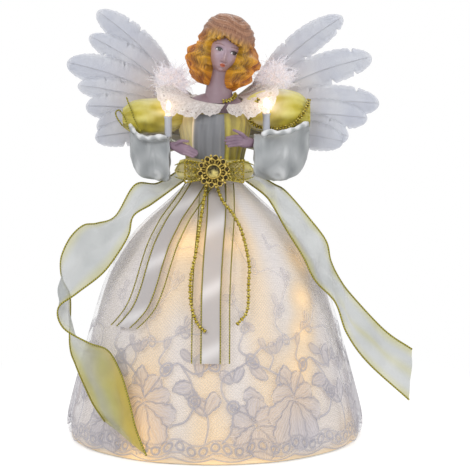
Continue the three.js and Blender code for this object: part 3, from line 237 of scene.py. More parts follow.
def turned(profile, steps, at, upright=False, rib=0.0, skew=0.0, **marks):
    """A profile of radii and heights turned about an axis through at: upright, or pointing to the
    front. rib is the depth of eight ribs, skew an angle that each row is turned by. Marks run
    down the profile."""
    profile = np.array(profile, float)
    turn = angles(steps)
    radius = profile[:, :1] + rib * np.cos(8 * turn) * (profile[:, :1] > 1)
    height = profile[:, 1:2]
    a, b = radius * np.cos(turn + skew), radius * np.sin(turn + skew)
    if upright:
        grid = surface(at[0] + a, at[1] + b, at[2] + height)
    else:
        grid = surface(at[0] + a, at[1] - height, at[2] + b)
    marks = {k: np.array(v)[:, None] if np.ndim(v) == 1 else v for k, v in marks.items()}
    return patch(grid, wrap=True, flip=not upright, **marks)


def domes(spots, normals, radius, height, **marks):
    """A low round dome of few faces at each spot, as one wrapped grid of five rings."""
    spots, normals = np.asarray(spots), unit(np.asarray(normals))
    side = unit(np.cross(normals, np.array([0.3, 0.2, 0.93])))
    other = np.cross(normals, side)
    turn = angles(8).T
    out = []
    for spot, n, a, b in zip(spots, normals, side, other):
        rings = [spot + s * radius * (np.cos(turn) * a + np.sin(turn) * b) + h * height * n
                 for s, h in ((0, -0.4), (0.8, -0.3), (1, 0), (0.7, 0.7), (0, 1))]
        out.append(patch(np.array(rings), wrap=True, **marks))
    return out


def make(name, patches, material, body="root", weld=0.0, closed=0.0, replaces=(), flat=False):
    """Join the patches in one object, in metres, with UVs and point attributes. weld joins points
    that lie that close, in millimetres; closed does too, and turns the faces outward."""
    starts = np.cumsum([0] + [len(p["points"]) for p in patches])
    points = np.concatenate([p["points"] for p in patches]) * MM
    quads = np.concatenate([p["quads"] + s for p, s in zip(patches, starts)])
    uv = np.concatenate([p["uv"] for p in patches])
    mesh = bpy.data.meshes.new(name)
    mesh.vertices.add(len(points))
    mesh.vertices.foreach_set("co", points.ravel())
    mesh.loops.add(quads.size)
    mesh.loops.foreach_set("vertex_index", quads.ravel())
    mesh.polygons.add(len(quads))
    mesh.polygons.foreach_set("loop_start", np.arange(len(quads)) * 4)
    mesh.update(calc_edges=True)
    mesh.uv_layers.new(name="cloth").data.foreach_set("uv", uv[quads.ravel()].ravel())
    for key in sorted({k for p in patches for k in p["marks"]}):
        deep = next(p["marks"][key].shape[1:] for p in patches if key in p["marks"])
        values = np.concatenate([
            p["marks"].get(key, np.zeros((len(p["points"]),) + deep)) for p in patches])
        if deep:
            values = np.concatenate([values, np.ones((len(values), 1))], 1)
        kind, field = ("FLOAT_COLOR", "color") if deep else ("FLOAT", "value")
        mesh.attributes.new(key, kind, "POINT").data.foreach_set(field, values.ravel())
    if weld or closed:
        work = bmesh.new()
        work.from_mesh(mesh)
        bmesh.ops.remove_doubles(work, verts=work.verts, dist=(weld or closed) * MM)
        if closed:
            bmesh.ops.recalc_face_normals(work, faces=work.faces)
        work.to_mesh(mesh)
        work.free()
    mesh.polygons.foreach_set("use_smooth", np.full(len(mesh.polygons), not flat))
    obj = bpy.data.objects.new(name, mesh)
    bpy.context.scene.collection.objects.link(obj)
    mesh.materials.append(material)
    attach(obj, body)
    if replaces:
        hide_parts(*replaces)
    return obj


# Materials.

def linear(code):
    """sRGB hex to linear red, green, blue and an opaque alpha."""
    value = np.array([int(code[i:i + 2], 16) for i in (1, 3, 5)]) / 255
    tone = np.where(value <= 0.04045, value / 12.92, ((value + 0.055) / 1.055) ** 2.4)
    return (*tone, 1.0)


def paint(code):
    """The same red, green and blue alone, for a colour that lies on the points."""
    return np.array(linear(code)[:3])


def add(tree, kind, *values, sockets=None, out=None, **settings):
    """Add a node: settings by name, inputs in their order or by socket name, each a link, a
    number or a hex colour. Returns the output asked for, else its factor, else its first."""
    node = tree.nodes.new("ShaderNode" + kind)
    for key, value in settings.items():
        setattr(node, key, value)
    named = [(node.inputs[key], value) for key, value in (sockets or {}).items()]
    for socket, value in [*zip(node.inputs, values), *named]:
        if isinstance(value, bpy.types.NodeSocket):
            tree.links.new(value, socket)
        else:
            socket.default_value = linear(value) if isinstance(value, str) else value
    return node.outputs[out or ("Fac" if "Fac" in node.outputs else 0)]


def start(name, **values):
    """A material and its node tree; values are plain sockets of its Principled shader, spaces
    written as _."""
    material = bpy.data.materials.new(name)
    material.use_nodes = True
    inputs = material.node_tree.nodes["Principled BSDF"].inputs
    for key, value in values.items():
        inputs[key.replace("_", " ")].default_value = linear(value) if isinstance(value, str) else value
    return material, material.node_tree


def drive(tree, bump=None, **links):
    """Link outputs to sockets of the Principled shader. bump is a height and its depth in
    millimetres."""
    if bump:
        links["Normal"] = add(tree, "Bump", sockets={"Height": bump[0], "Distance": bump[1] * MM})
    for key, value in links.items():
        tree.links.new(value, tree.nodes["Principled BSDF"].inputs[key.replace("_", " ")])


def polyester_lining():
    """Woven polyester lining, ribbed crosswise. Warm lamplight shows through it in soft patches,
    and it is lilac white where no lamp stands behind it."""
    material, tree = start("polyester_lining_woven", Roughness=0.7, Sheen_Weight=0.15,
                           Emission_Strength=1.0)
    glow = add(tree, "Attribute", attribute_name="glow")
    rib = add(tree, "TexWave", add(tree, "UVMap", uv_map="cloth"), 0.28, 1.2, 1.0, bands_direction="Y")
    warmth, heat, hot = (add(tree, "MapRange", glow, low, high, interpolation_type="SMOOTHSTEP")
                         for low, high in ((0.0, 0.7), (0.3, 1.2), (0.8, 1.7)))
    cream = add(tree, "MixRGB", warmth, "#e9e7ea", "#eedabc")
    shade = add(tree, "MixRGB", add(tree, "Math", rib, 0.14, operation="MULTIPLY"), cream, "#bca88e")
    light = add(tree, "MixRGB", hot, add(tree, "MixRGB", heat, "#55504e", "#93764c"), "#dcb26c")
    drive(tree, bump=(rib, 0.15), Base_Color=shade, Emission_Color=light)
    return material


def net_lace():
    """Machine-made polyester lace on bobbin net: opaque corded outlines, half-open hatched petals,
    and a ground of 2 mm diamonds, drawn a little coarser than real so that it shows. Lamplight is
    painted on: the petals turn cream where the glow mark is high, and the lace emits a faint glow."""
    material, tree = start("polyester_lace_on_net", Roughness=0.85, Sheen_Weight=0.2,
                           Emission_Strength=1.0)
    cord, fill, hatch, glow = (add(tree, "Attribute", attribute_name=mark)
                               for mark in ("cord", "fill", "hatch", "glow"))
    way = add(tree, "VectorRotate", add(tree, "UVMap", uv_map="cloth"), rotation_type="Z_AXIS",
              sockets={"Angle": np.pi / 4})
    cell = add(tree, "TexVoronoi", way, sockets={"Scale": 0.58, "Randomness": 0.15},
               feature="DISTANCE_TO_EDGE", out="Distance")
    net = add(tree, "MapRange", cell, 0.2, 0.07, 0.03, 0.24, interpolation_type="SMOOTHSTEP")
    dense = add(tree, "Math", add(tree, "MapRange", hatch, 0, 1, 0.3, 0.8), fill, operation="MULTIPLY")
    alpha = add(tree, "Math", add(tree, "Math", cord, dense, operation="MAXIMUM"), net,
                operation="MAXIMUM")
    petal = add(tree, "MixRGB", hatch, "#e6e3e8", "#c4c1cc")
    # Painted lamplight: the petals' colour turns cream where the glow mark is high.
    warm = add(tree, "MapRange", glow, 0.2, 1.3, interpolation_type="SMOOTHSTEP")
    shade = add(tree, "MixRGB", cord, add(tree, "MixRGB", warm, petal, "#f0dcc4"), "#aaa8b4")
    relief = add(tree, "Math", cord, add(tree, "Math", hatch, 0.4, operation="MULTIPLY"),
                 operation="MAXIMUM")
    # Painted glow: the whole lace emits a faint warm light, dimmer on the cords.
    drive(tree, bump=(relief, 0.5), Base_Color=shade, Alpha=alpha,
          Emission_Color=add(tree, "MixRGB", cord, "#453f3c", "#151418"))
    return material


def striped_ribbon():
    """Satin-centred sheer ribbon: a bright smooth satin stripe between sheer organza sides, with
    olive lurex lines at the borders. The shine mark paints highlights across the satin stripe."""
    material, tree = start("polyester_satin_and_sheer_ribbon", Roughness=0.4)
    satin, line, shine, tint = (add(tree, "Attribute", attribute_name=mark)
                                for mark in ("satin", "line", "shine", "tint"))
    weft = add(tree, "TexWave", add(tree, "UVMap", uv_map="cloth"), 0.4, 0.6, bands_direction="Y")
    # Painted highlight: the satin turns near white where the shine mark is high.
    white = add(tree, "MixRGB", shine, "#c9c4c4", "#f0edee")
    sheer = add(tree, "MixRGB", tint, "#dad2c8", "#cccb86")
    tone = add(tree, "MixRGB", line, add(tree, "MixRGB", satin, sheer, white), "#8a7a20")
    alpha = add(tree, "Math", add(tree, "MapRange", satin, 0, 1, 0.3, 0.86), line, operation="MAXIMUM")
    drive(tree, bump=(weft, 0.05), Base_Color=tone, Alpha=alpha)
    return material


def sheer_organza():
    """Sheer woven organza ribbon: lilac grey in the middle, yellow green toward its wired edges
    and where it doubles, with fine crosswise threads and a soft shine."""
    material, tree = start("polyester_organza_ribbon_sheer", Roughness=0.42, Sheen_Weight=0.3)
    tint = add(tree, "Attribute", attribute_name="tint")
    thread = add(tree, "TexWave", add(tree, "UVMap", uv_map="cloth"), 0.5, 0.8, bands_direction="Y")
    cloud = add(tree, "TexNoise", add(tree, "TexCoord", out="Object"), sockets={"Scale": 45.0})
    pale = add(tree, "MixRGB", add(tree, "MapRange", tint, 0, 0.5), "#bcc1c7", "#c9c46c")
    shade = add(tree, "MixRGB", add(tree, "MapRange", tint, 0.5, 1), pale, "#d0b91e")
    shade = add(tree, "MixRGB", add(tree, "Math", thread, 0.16, operation="MULTIPLY"), shade, "#9a9c94")
    alpha = add(tree, "Math", add(tree, "MapRange", cloud, 0.3, 0.7, 0.62, 0.84),
                add(tree, "Math", tint, 0.08, operation="MULTIPLY"), operation="ADD")
    drive(tree, bump=(thread, 0.08), Base_Color=shade, Alpha=alpha)
    return material


def yellow_organza():
    """Gathered yellow organza, layer on layer, so nearly closed. Its light is painted: the crest mark
    gives ochre shade in the folds and lemon highlights on their crests, the pale mark pale cream
    highlights and lamplight, and the glow mark a pale gold glow where a lamp stands close."""
    material, tree = start("polyester_organza_gathered", Roughness=0.4, Sheen_Weight=0.5,
                           Emission_Strength=0.6)
    crest, glow, pale = (add(tree, "Attribute", attribute_name=mark)
                         for mark in ("crest", "glow", "pale"))
    thread = add(tree, "TexWave", add(tree, "UVMap", uv_map="cloth"), 0.5, 2.0, bands_direction="Y")
    cloud = add(tree, "TexNoise", add(tree, "TexCoord", out="Object"),
                sockets={"Scale": 110.0, "Detail": 3.0})
    crest = add(tree, "Math", crest, add(tree, "MapRange", cloud, 0.3, 0.7, -0.18, 0.18), operation="ADD")
    # Painted shade and highlight: ochre where crest is low, lemon and pale where it is high.
    tone = add(tree, "MixRGB", add(tree, "MapRange", crest, 0, 0.5), "#95860c", "#cdbd2c")
    tone = add(tree, "MixRGB", add(tree, "MapRange", crest, 0.5, 1), tone, "#e9df7e")
    tone = add(tree, "MixRGB", pale, tone, "#e6ddc4")
    tone = add(tree, "MixRGB", add(tree, "Math", thread, 0.12, operation="MULTIPLY"), tone, "#7d7420")
    # Painted lamplight: the cloth emits pale gold where the glow mark is high.
    drive(tree, bump=(thread, 0.1), Base_Color=tone,
          Emission_Color=add(tree, "MixRGB", glow, "#000000", "#e8c98a"))
    return material


def slipper_satin(name, tone, dark, light):
    """Woven satin with a faint thread line across. Its light is painted: the crest mark gives bright
    highlights on the crests and grey shade in the folds, and the glow mark a warm glow near the lamps."""
    material, tree = start(name, Roughness=0.62, Sheen_Weight=0.2, Emission_Strength=0.8)
    crest, glow = (add(tree, "Attribute", attribute_name=mark) for mark in ("crest", "glow"))
    way = add(tree, "VectorMath", add(tree, "UVMap", uv_map="cloth"), (8, 0.6, 1), operation="MULTIPLY")
    weft = add(tree, "TexNoise", way, sockets={"Scale": 1.0})
    # Painted shade where crest is low, painted highlight where it is high.
    shade = add(tree, "MixRGB", add(tree, "MapRange", crest, 0, 0.5), dark, tone)
    shade = add(tree, "MixRGB", add(tree, "MapRange", crest, 0.55, 1), shade, light)
    shade = add(tree, "MixRGB", add(tree, "Math", weft, 0.12, operation="MULTIPLY"), shade, dark)
    drive(tree, bump=(weft, 0.05), Base_Color=shade,
          Emission_Color=add(tree, "MixRGB", glow, "#000000", "#f0c987"))
    return material


def eyelet_lace():
    """Gathered eyelet trim: dense cotton-like lace with small open eyelets and a corded edge,
    glowing pinkish white beside the lamps."""
    material, tree = start("polyester_eyelet_lace_trim", Roughness=0.85, Sheen_Weight=0.2,
                           Emission_Strength=0.5)
    cord, fill, glow = (add(tree, "Attribute", attribute_name=mark) for mark in ("cord", "fill", "glow"))
    grain = add(tree, "TexNoise", add(tree, "TexCoord", out="Object"), sockets={"Scale": 900.0})
    tone = add(tree, "MixRGB", cord, "#dfd7d4", "#f1ece9")
    tone = add(tree, "MixRGB", add(tree, "MapRange", grain, 0.45, 0.7, 0, 0.5), tone, "#b9a9a2")
    drive(tree, bump=(cord, 0.5), Base_Color=tone, Alpha=add(tree, "MapRange", fill, 0, 1, 0.45, 1.0),
          Emission_Color=add(tree, "MixRGB", glow, "#000000", "#ffdcb8"))
    return material


def lurex_cord():
    """Wire edge wound with olive gold lurex: dark, glinting, ribbed along its length."""
    material, tree = start("lurex_wound_wire", Roughness=0.38, Metallic=0.5)
    wind = add(tree, "TexWave", add(tree, "UVMap", uv_map="cloth"), 0.35, bands_direction="DIAGONAL")
    drive(tree, bump=(wind, 0.2), Base_Color=add(tree, "MixRGB", wind, "#5d5a14", "#b5a93c"))
    return material


def plated_beads():
    """Vacuum-plated plastic beads and sequins: olive gold, with painted shade in the hollows between
    beads where the bead mark is low; cords and braid cores get lower marks and so a darker gold.
    """
    material, tree = start("plated_plastic_beads", Roughness=0.3, Metallic=0.75)
    bead = add(tree, "Attribute", attribute_name="bead")
    fleck = add(tree, "TexNoise", add(tree, "TexCoord", out="Object"), sockets={"Scale": 900.0})
    # Painted shade where the bead mark is low, olive gold where it is high.
    tone = add(tree, "MixRGB", bead, "#3d3606", "#ab952a")
    drive(tree, Base_Color=add(tree, "MixRGB", add(tree, "MapRange", fleck, 0.5, 0.7), tone, "#e0d483"))
    return material


def antique_casting():
    """Cast zinc with antique gold plating: brown in the recesses, worn bright on the high spots."""
    material, tree = start("zinc_casting_antique_gold", Metallic=0.8)
    wear = add(tree, "Attribute", attribute_name="crest")
    pits = add(tree, "TexNoise", add(tree, "TexCoord", out="Object"),
               sockets={"Scale": 700.0, "Detail": 4.0})
    tone = add(tree, "MixRGB", wear, "#2c200c", "#d2b964")
    tone = add(tree, "MixRGB", add(tree, "MapRange", pits, 0.52, 0.7), tone, "#231a0c")
    drive(tree, bump=(pits, 0.15), Base_Color=tone,
          Roughness=add(tree, "MapRange", pits, 0.3, 0.7, 0.22, 0.45))
    return material


def foil_backed_stone(name, dark, light):
    """Faceted acrylic stone with foil behind. The facet mark paints its reflections: facets swing
    from near black to pale yellow, under a faint pale haze.
    """
    material, tree = start(name, Roughness=0.2, IOR=1.5, Specular_IOR_Level=0.12)
    facet = add(tree, "Attribute", attribute_name="facet")
    cloud = add(tree, "TexNoise", add(tree, "TexCoord", out="Object"), sockets={"Scale": 500.0})
    haze = add(tree, "Math", cloud, 0.06, operation="MULTIPLY")
    tone = add(tree, "MixRGB", facet, dark, light)
    drive(tree, Base_Color=add(tree, "MixRGB", haze, tone, "#fff2c0"))
    return material


def painted_resin():
    """Cast resin painted flesh by airbrush: colours come from the paint attribute, which also carries
    painted light and shade, with a faint orange-peel and uneven shade."""
    material, tree = start("cast_resin_flesh_paint", Roughness=0.45, Coat_Weight=0.1)
    colour = add(tree, "Attribute", attribute_name="paint", out="Color")
    place = add(tree, "TexCoord", out="Object")
    uneven, peel = (add(tree, "TexNoise", place, sockets={"Scale": scale}) for scale in (120.0, 2500.0))
    tone = add(tree, "MixRGB", add(tree, "MapRange", uneven, 0.35, 0.7, 0, 0.18), colour, "#8a7078")
    drive(tree, bump=(peel, 0.05), Base_Color=tone)
    return material


def flesh_hands():
    """The same flesh paint on the cast hands, plain mauve, with painted shade between the fingers
    where the surface curves in.
    """
    material, tree = start("cast_resin_flesh_paint_hands", Roughness=0.5, Coat_Weight=0.1)
    place = add(tree, "TexCoord", out="Object")
    uneven, peel = (add(tree, "TexNoise", place, sockets={"Scale": scale}) for scale in (160.0, 2200.0))
    crevice_shade = add(tree, "NewGeometry", out="Pointiness")
    tone = add(tree, "MixRGB", add(tree, "MapRange", uneven, 0.3, 0.7), "#826a7c", "#9d8292")
    # Painted shade: darker where the surface curves in, between the fingers.
    tone = add(tree, "MixRGB", add(tree, "MapRange", crevice_shade, 0.5, 0.42), tone, "#5a4456")
    drive(tree, bump=(peel, 0.05), Base_Color=tone)
    return material


def painted_hair():
    """Cast resin hair with airbrushed washes: orange outside, ochre round the face and a pinkish
    brown crown. Over them the crest mark paints shade in the grooves and highlights on the strands,
    and noise along the strands paints light and dark streaks."""
    material, tree = start("cast_resin_hair_paint", Roughness=0.42, Coat_Weight=0.15)
    crest, crown, gold = (add(tree, "Attribute", attribute_name=mark)
                          for mark in ("crest", "crown", "gold"))
    way = add(tree, "VectorMath", add(tree, "UVMap", uv_map="cloth"), (1, 0.12, 1), operation="MULTIPLY")
    strand = add(tree, "TexNoise", way, sockets={"Scale": 1.6, "Detail": 3.0})
    orange, ochre, brown = (add(tree, "MixRGB", crest, dark, light) for dark, light in (
        ("#8f4510", "#ee961f"), ("#7d5c08", "#dfa61e"), ("#6b432d", "#b58263")))
    tone = add(tree, "MixRGB", crown, add(tree, "MixRGB", gold, orange, ochre), brown)
    # Painted highlight streaks where the strand noise is high, darker streaks where it is low.
    light = add(tree, "MixRGB", crown, "#f6b440", "#c89a7a")
    tone = add(tree, "MixRGB", add(tree, "MapRange", strand, 0.52, 0.72, 0, 0.7), tone, light)
    tone = add(tree, "MixRGB", add(tree, "MapRange", strand, 0.46, 0.3, 0, 0.6), tone, "#7f4516")
    drive(tree, bump=(strand, 0.5), Base_Color=tone)
    return material


def goose_feather():
    """Bleached goose feather: fine slanting barbs that lie together, lilac white, with painted
    pinkish lamplight near the root, where the shoulder lamps stand, and a greyer horny quill."""
    material, tree = start("goose_feather_vane", Roughness=0.75, Sheen_Weight=0.3)
    root, quill, vane = (add(tree, "Attribute", attribute_name=mark) for mark in ("root", "quill", "vane"))
    barb = add(tree, "TexWave", add(tree, "UVMap", uv_map="cloth"), 0.45, 0.8, 1.0, bands_direction="Y")
    cloud = add(tree, "TexNoise", add(tree, "TexCoord", out="Object"), sockets={"Scale": 60.0})
    tone = add(tree, "MixRGB", add(tree, "MapRange", cloud, 0.35, 0.65), "#d5d9e6", "#e3e6ef")
    tone = add(tree, "MixRGB", root, tone, "#ecdcd6")
    tone = add(tree, "MixRGB", add(tree, "Math", barb, 0.16, operation="MULTIPLY"), tone, "#aeb4c6")
    drive(tree, bump=(barb, 0.15), Base_Color=add(tree, "MixRGB", quill, tone, "#c2c3cb"), Alpha=vane)
    return material


def marabou_down():
    """Marabou down: separate soft fibres, almost white, with painted pink lamplight toward the
    roots and a faint painted glow over every fibre, warmer at the roots.
    """
    material, tree = start("marabou_down_fibres", Roughness=0.9, Sheen_Weight=0.4, Emission_Strength=1.0)
    root, vane = (add(tree, "Attribute", attribute_name=mark) for mark in ("root", "vane"))
    fibre = add(tree, "TexNoise", add(tree, "TexCoord", out="Object"), sockets={"Scale": 600.0})
    tone = add(tree, "MixRGB", root, "#f4f3f7", "#f5ebe6")
    tone = add(tree, "MixRGB", add(tree, "Math", fibre, 0.12, operation="MULTIPLY"), tone, "#d8d2dc")
    # Painted glow: the fibres emit faintly everywhere, warmer toward the roots.
    drive(tree, Base_Color=tone, Emission_Color=add(tree, "MixRGB", root, "#67666e", "#7d736f"), Alpha=vane)
    return material


def lamp_glass():
    """Clear mini bulb, lit: white hot at the filament, amber toward its ends."""
    material, tree = start("mini_lamp_glass_lit", Base_Color="#fff3d8", Roughness=0.1,
                           Emission_Strength=1.7)
    hot = add(tree, "Attribute", attribute_name="hot")
    drive(tree, Emission_Color=add(tree, "MixRGB", hot, "#dca45c", "#fff6e0"))
    return material


def moulded_plastic(name, tone, dark, roughness, grain):
    """Injection-moulded plastic: a faint speckle of its mould finish, grain millimetres wide, and
    slight shade changes."""
    material, tree = start(name, Roughness=roughness)
    place = add(tree, "TexCoord", out="Object")
    flow, speck = (add(tree, "TexNoise", place, sockets={"Scale": scale})
                   for scale in (40.0, 1 / (grain * MM)))
    shade = add(tree, "MixRGB", add(tree, "MapRange", flow, 0.3, 0.7), dark, tone)
    drive(tree, bump=(speck, 0.03), Base_Color=shade)
    return material


def drawn_steel():
    """Drawn galvanised wire: grey, semi-bright, with fine lengthwise scratches."""
    material, tree = start("galvanised_steel_wire", Metallic=1.0)
    grey = add(tree, "TexNoise", add(tree, "TexCoord", out="Object"), sockets={"Scale": 400.0})
    drive(tree, Base_Color=add(tree, "MixRGB", grey, "#8e9194", "#c3c6c8"),
          Roughness=add(tree, "MapRange", grey, 0.3, 0.7, 0.3, 0.5))
    return material


def pressed_felt():
    """Pressed wool felt: matt, hairy at half a millimetre, mottled off white."""
    material, tree = start("pressed_felt", Roughness=0.95, Sheen_Weight=0.4)
    hair = add(tree, "TexNoise", add(tree, "TexCoord", out="Object"),
               sockets={"Scale": 1400.0, "Detail": 4.0, "Distortion": 1.5})
    drive(tree, bump=(hair, 0.2), Base_Color=add(tree, "MixRGB", hair, "#c9c5bd", "#efece4"))
    return material


# The skirt.

# Warm lamplight behind the cloth: degrees from the front, height, spread, strength.
LAMP_GLOW = np.array([
    [-15, 142, 17, 0.95], [10, 143, 12, 0.7], [4, 118, 16, 0.35], [-14, 112, 18, 0.3],
    [60, 128, 12, 0.7], [49, 104, 11, 0.85], [44, 82, 11, 0.8], [39, 60, 13, 0.75],
    [37, 38, 15, 0.45], [-33, 40, 22, 0.5], [-26, 12, 16, 0.75], [8, 8, 22, 0.4],
    [66, 10, 16, 0.45], [78, 140, 16, 0.6], [165, 146, 22, 0.9], [-105, 146, 20, 0.7],
    [125, 56, 26, 0.7], [-145, 56, 26, 0.7], [-90, 40, 22, 0.3], [178, 90, 30, 0.3]])


def lamp_glow(points, angle):
    """How strongly the lamps shine through at each point: a broad warm part, strongest on the
    front and the back and streaked along the folds, more at the hem, plus a bell curve round each
    hot spot."""
    streak = 1 + 0.4 * np.cos(fold_phase(angle) + 0.6)
    total = 0.46 * np.abs(np.cos(angle)) ** 1.6 * streak + 0.5 * bell(points[..., 2], 4)
    spots = on_bell(np.radians(LAMP_GLOW[:, 0]), LAMP_GLOW[:, 1], 0)
    for spot, (spread, strength) in zip(spots, LAMP_GLOW[:, 2:]):
        total += strength * np.exp(-((points - spot) ** 2).sum(-1) / spread ** 2)
    return total


def make_lining():
    """The lining skirt: on the bell's profile, with twelve soft folds a tenth as deep as the
    lace's."""
    angle, height = along(361, 0, 2 * np.pi), down(120, LINING_HEM, BELL_HEIGHT)
    grid = on_bell(angle, height, LINING_LIFT + 0.1 * fold_lift(angle, height))
    piece = make("lining_cloth", [patch(
        grid, uv=(angle * HEM_RADIUS, height), glow=lamp_glow(grid, angle))],
        polyester_lining(), weld=0.01, replaces=("lining_skirt",))


# The lace repeat, 60 degrees or 108.9 mm of hem: x along the hem, y up from it, in millimetres.
REPEAT = 2 * np.pi * HEM_RADIUS / 6
# Petals and leaves: base x, base y, length, half width, degrees they point to.
PETALS = np.array([
    [0, 36, 27, 5.6, -92], [0, 36, 25, 6.2, -62], [0, 36, 25, 6.2, -122], [0, 37, 21, 5.8, -30],
    [0, 37, 20, 5.8, -152], [0, 39, 15, 5.2, 12], [0, 39, 15, 5.2, 168], [0, 40, 15, 4.6, 62],
    [0, 40, 16, 4.6, 112], [-30, 20, 17, 6.0, -80], [-30, 20, 16, 6.2, -130], [-30, 20, 16, 6.0, -28],
    [-31, 23, 14, 5.4, 30], [-31, 23, 14, 5.6, 80], [-32, 22, 14, 5.4, 140], [-32, 21, 14, 5.2, 190],
    [-14, 50, 12, 3.4, 30], [-20, 54, 11, 3.0, 150], [-24, 40, 12, 3.2, 170], [20, 44, 12, 3.3, 25],
    [26, 50, 12, 3.1, -40], [44, 30, 13, 3.4, 60], [46, 30, 12, 3.2, 130], [40, 56, 10, 2.6, 100],
    [-44, 52, 9, 2.6, 60], [-46, 52, 9, 2.6, 140], [34, 66, 9, 2.3, 20], [34, 67, 9, 2.3, 160],
    [-10, 70, 8, 2.2, 60], [-10, 70, 8, 2.2, 130]])
# Petals are drawn longer and wider than in their table, so that neighbours overlap.
PETAL_STRETCH = [1, 1, 1.22, 1.3, 1]
# Roses and curled rings: x, y, radius.
RINGS = np.array([
    [36, 40, 4.4], [36, 40, 2.1], [-46, 36, 4.2], [-46, 36, 1.9], [14, 60, 4.2], [14, 60, 1.8],
    [-30, 64, 4.6], [-30, 64, 2.2], [50, 62, 4.0], [50, 62, 1.6], [0, 78, 3.4], [26, 84, 3.6],
    [-34, 86, 3.2], [-4, 96, 3.8], [-4, 96, 1.6], [40, 102, 3.0], [-44, 108, 3.4], [14, 118, 3.2],
    [-20, 128, 2.8], [44, 134, 3.0], [6, 146, 2.6], [-36, 152, 2.8]])
STEMS = [
    [(0, 40), (-6, 50), (-18, 60), (-30, 64)],
    [(0, 40), (8, 52), (14, 60), (24, 62), (36, 58), (50, 62)],
    [(36, 44), (32, 54), (24, 62)],
    [(-30, 24), (-40, 32), (-46, 36), (-54, 46), (-50, 58), (-30, 64)],
    [(20, 20), (30, 26), (36, 36)],
    [(44, 12), (46, 22), (44, 32), (36, 40)],
    [(-30, 64), (-24, 74), (-10, 76), (0, 78), (12, 80), (26, 84), (34, 92), (40, 102)],
    [(50, 62), (52, 74), (44, 84), (26, 84)],
    [(-30, 64), (-40, 74), (-34, 86), (-38, 98), (-44, 108)],
    [(0, 78), (-8, 88), (-4, 96), (4, 106), (14, 118)],
    [(14, 118), (2, 126), (-20, 128), (-30, 140), (-36, 152)],
    [(40, 102), (46, 116), (44, 134), (30, 142), (6, 146)],
    [(-54, 12), (-48, 20), (-46, 32)],
    [(14, 60), (8, 66), (12, 74)],
    [(-18, 60), (-14, 68), (-20, 74)]]
# Buds, in the same columns as petals.
BUDS = np.array([
    [12, 74, 8, 2.4, 80], [-20, 74, 8, 2.2, 110], [26, 88, 8, 2.3, 70], [26, 86, 8, 2.2, 200],
    [-34, 90, 8, 2.3, 110], [-34, 88, 8, 2.1, -10], [-4, 100, 9, 2.4, 100], [-4, 98, 9, 2.4, 20],
    [40, 105, 8, 2.2, 90], [40, 103, 8, 2.2, 0], [-44, 111, 8, 2.2, 80], [-44, 110, 8, 2.2, 190],
    [14, 121, 8, 2.2, 100], [14, 119, 8, 2.2, 20], [-20, 131, 7, 2.0, 70], [44, 137, 7, 2.0, 110],
    [6, 149, 7, 2.0, 80], [-36, 155, 7, 2.0, 100]])
# The chain along the hem: step from eyelet to eyelet, their radius, half the chain's height.
EYELET_STEP, EYELET_RADIUS, CHAIN_HALF = 7.78, 2.6, 4.2
# Degrees from the front at which a repeat is centred.
REPEAT_START = 33


def petal_marks(x, y, base_x, base_y, length, half, degrees):
    """One petal: a pointed oval along its own axis. Its outline is where the distance from the
    axis is near the oval's half width, its hatching runs along it, fanned from the base."""
    turn = np.radians(degrees)
    ahead = (x - base_x) * np.cos(turn) + (y - base_y) * np.sin(turn)
    aside = (y - base_y) * np.cos(turn) - (x - base_x) * np.sin(turn)
    share = ahead / length
    width = half * np.sqrt(np.clip(share * (1 - share), 0, None)) * (1.35 + 1.25 * share)
    width = width * (1 + 0.07 * np.cos(share * 26 + degrees))
    gap = np.abs(aside) - width
    inside = (share > 0) & (share < 1) & (gap < 0)
    line = np.where((share > -0.02) & (share < 1.03), bell(gap, 0.66), 0)
    vein = np.where(inside, bell(aside, 0.5) * (share < 0.85), 0)
    fan = aside / np.maximum(width, 0.4)
    hatch = np.where(inside, 0.5 + 0.5 * np.cos(fan * half * 3.0 + share * 2), 0)
    return line, inside * 1.0, hatch, vein


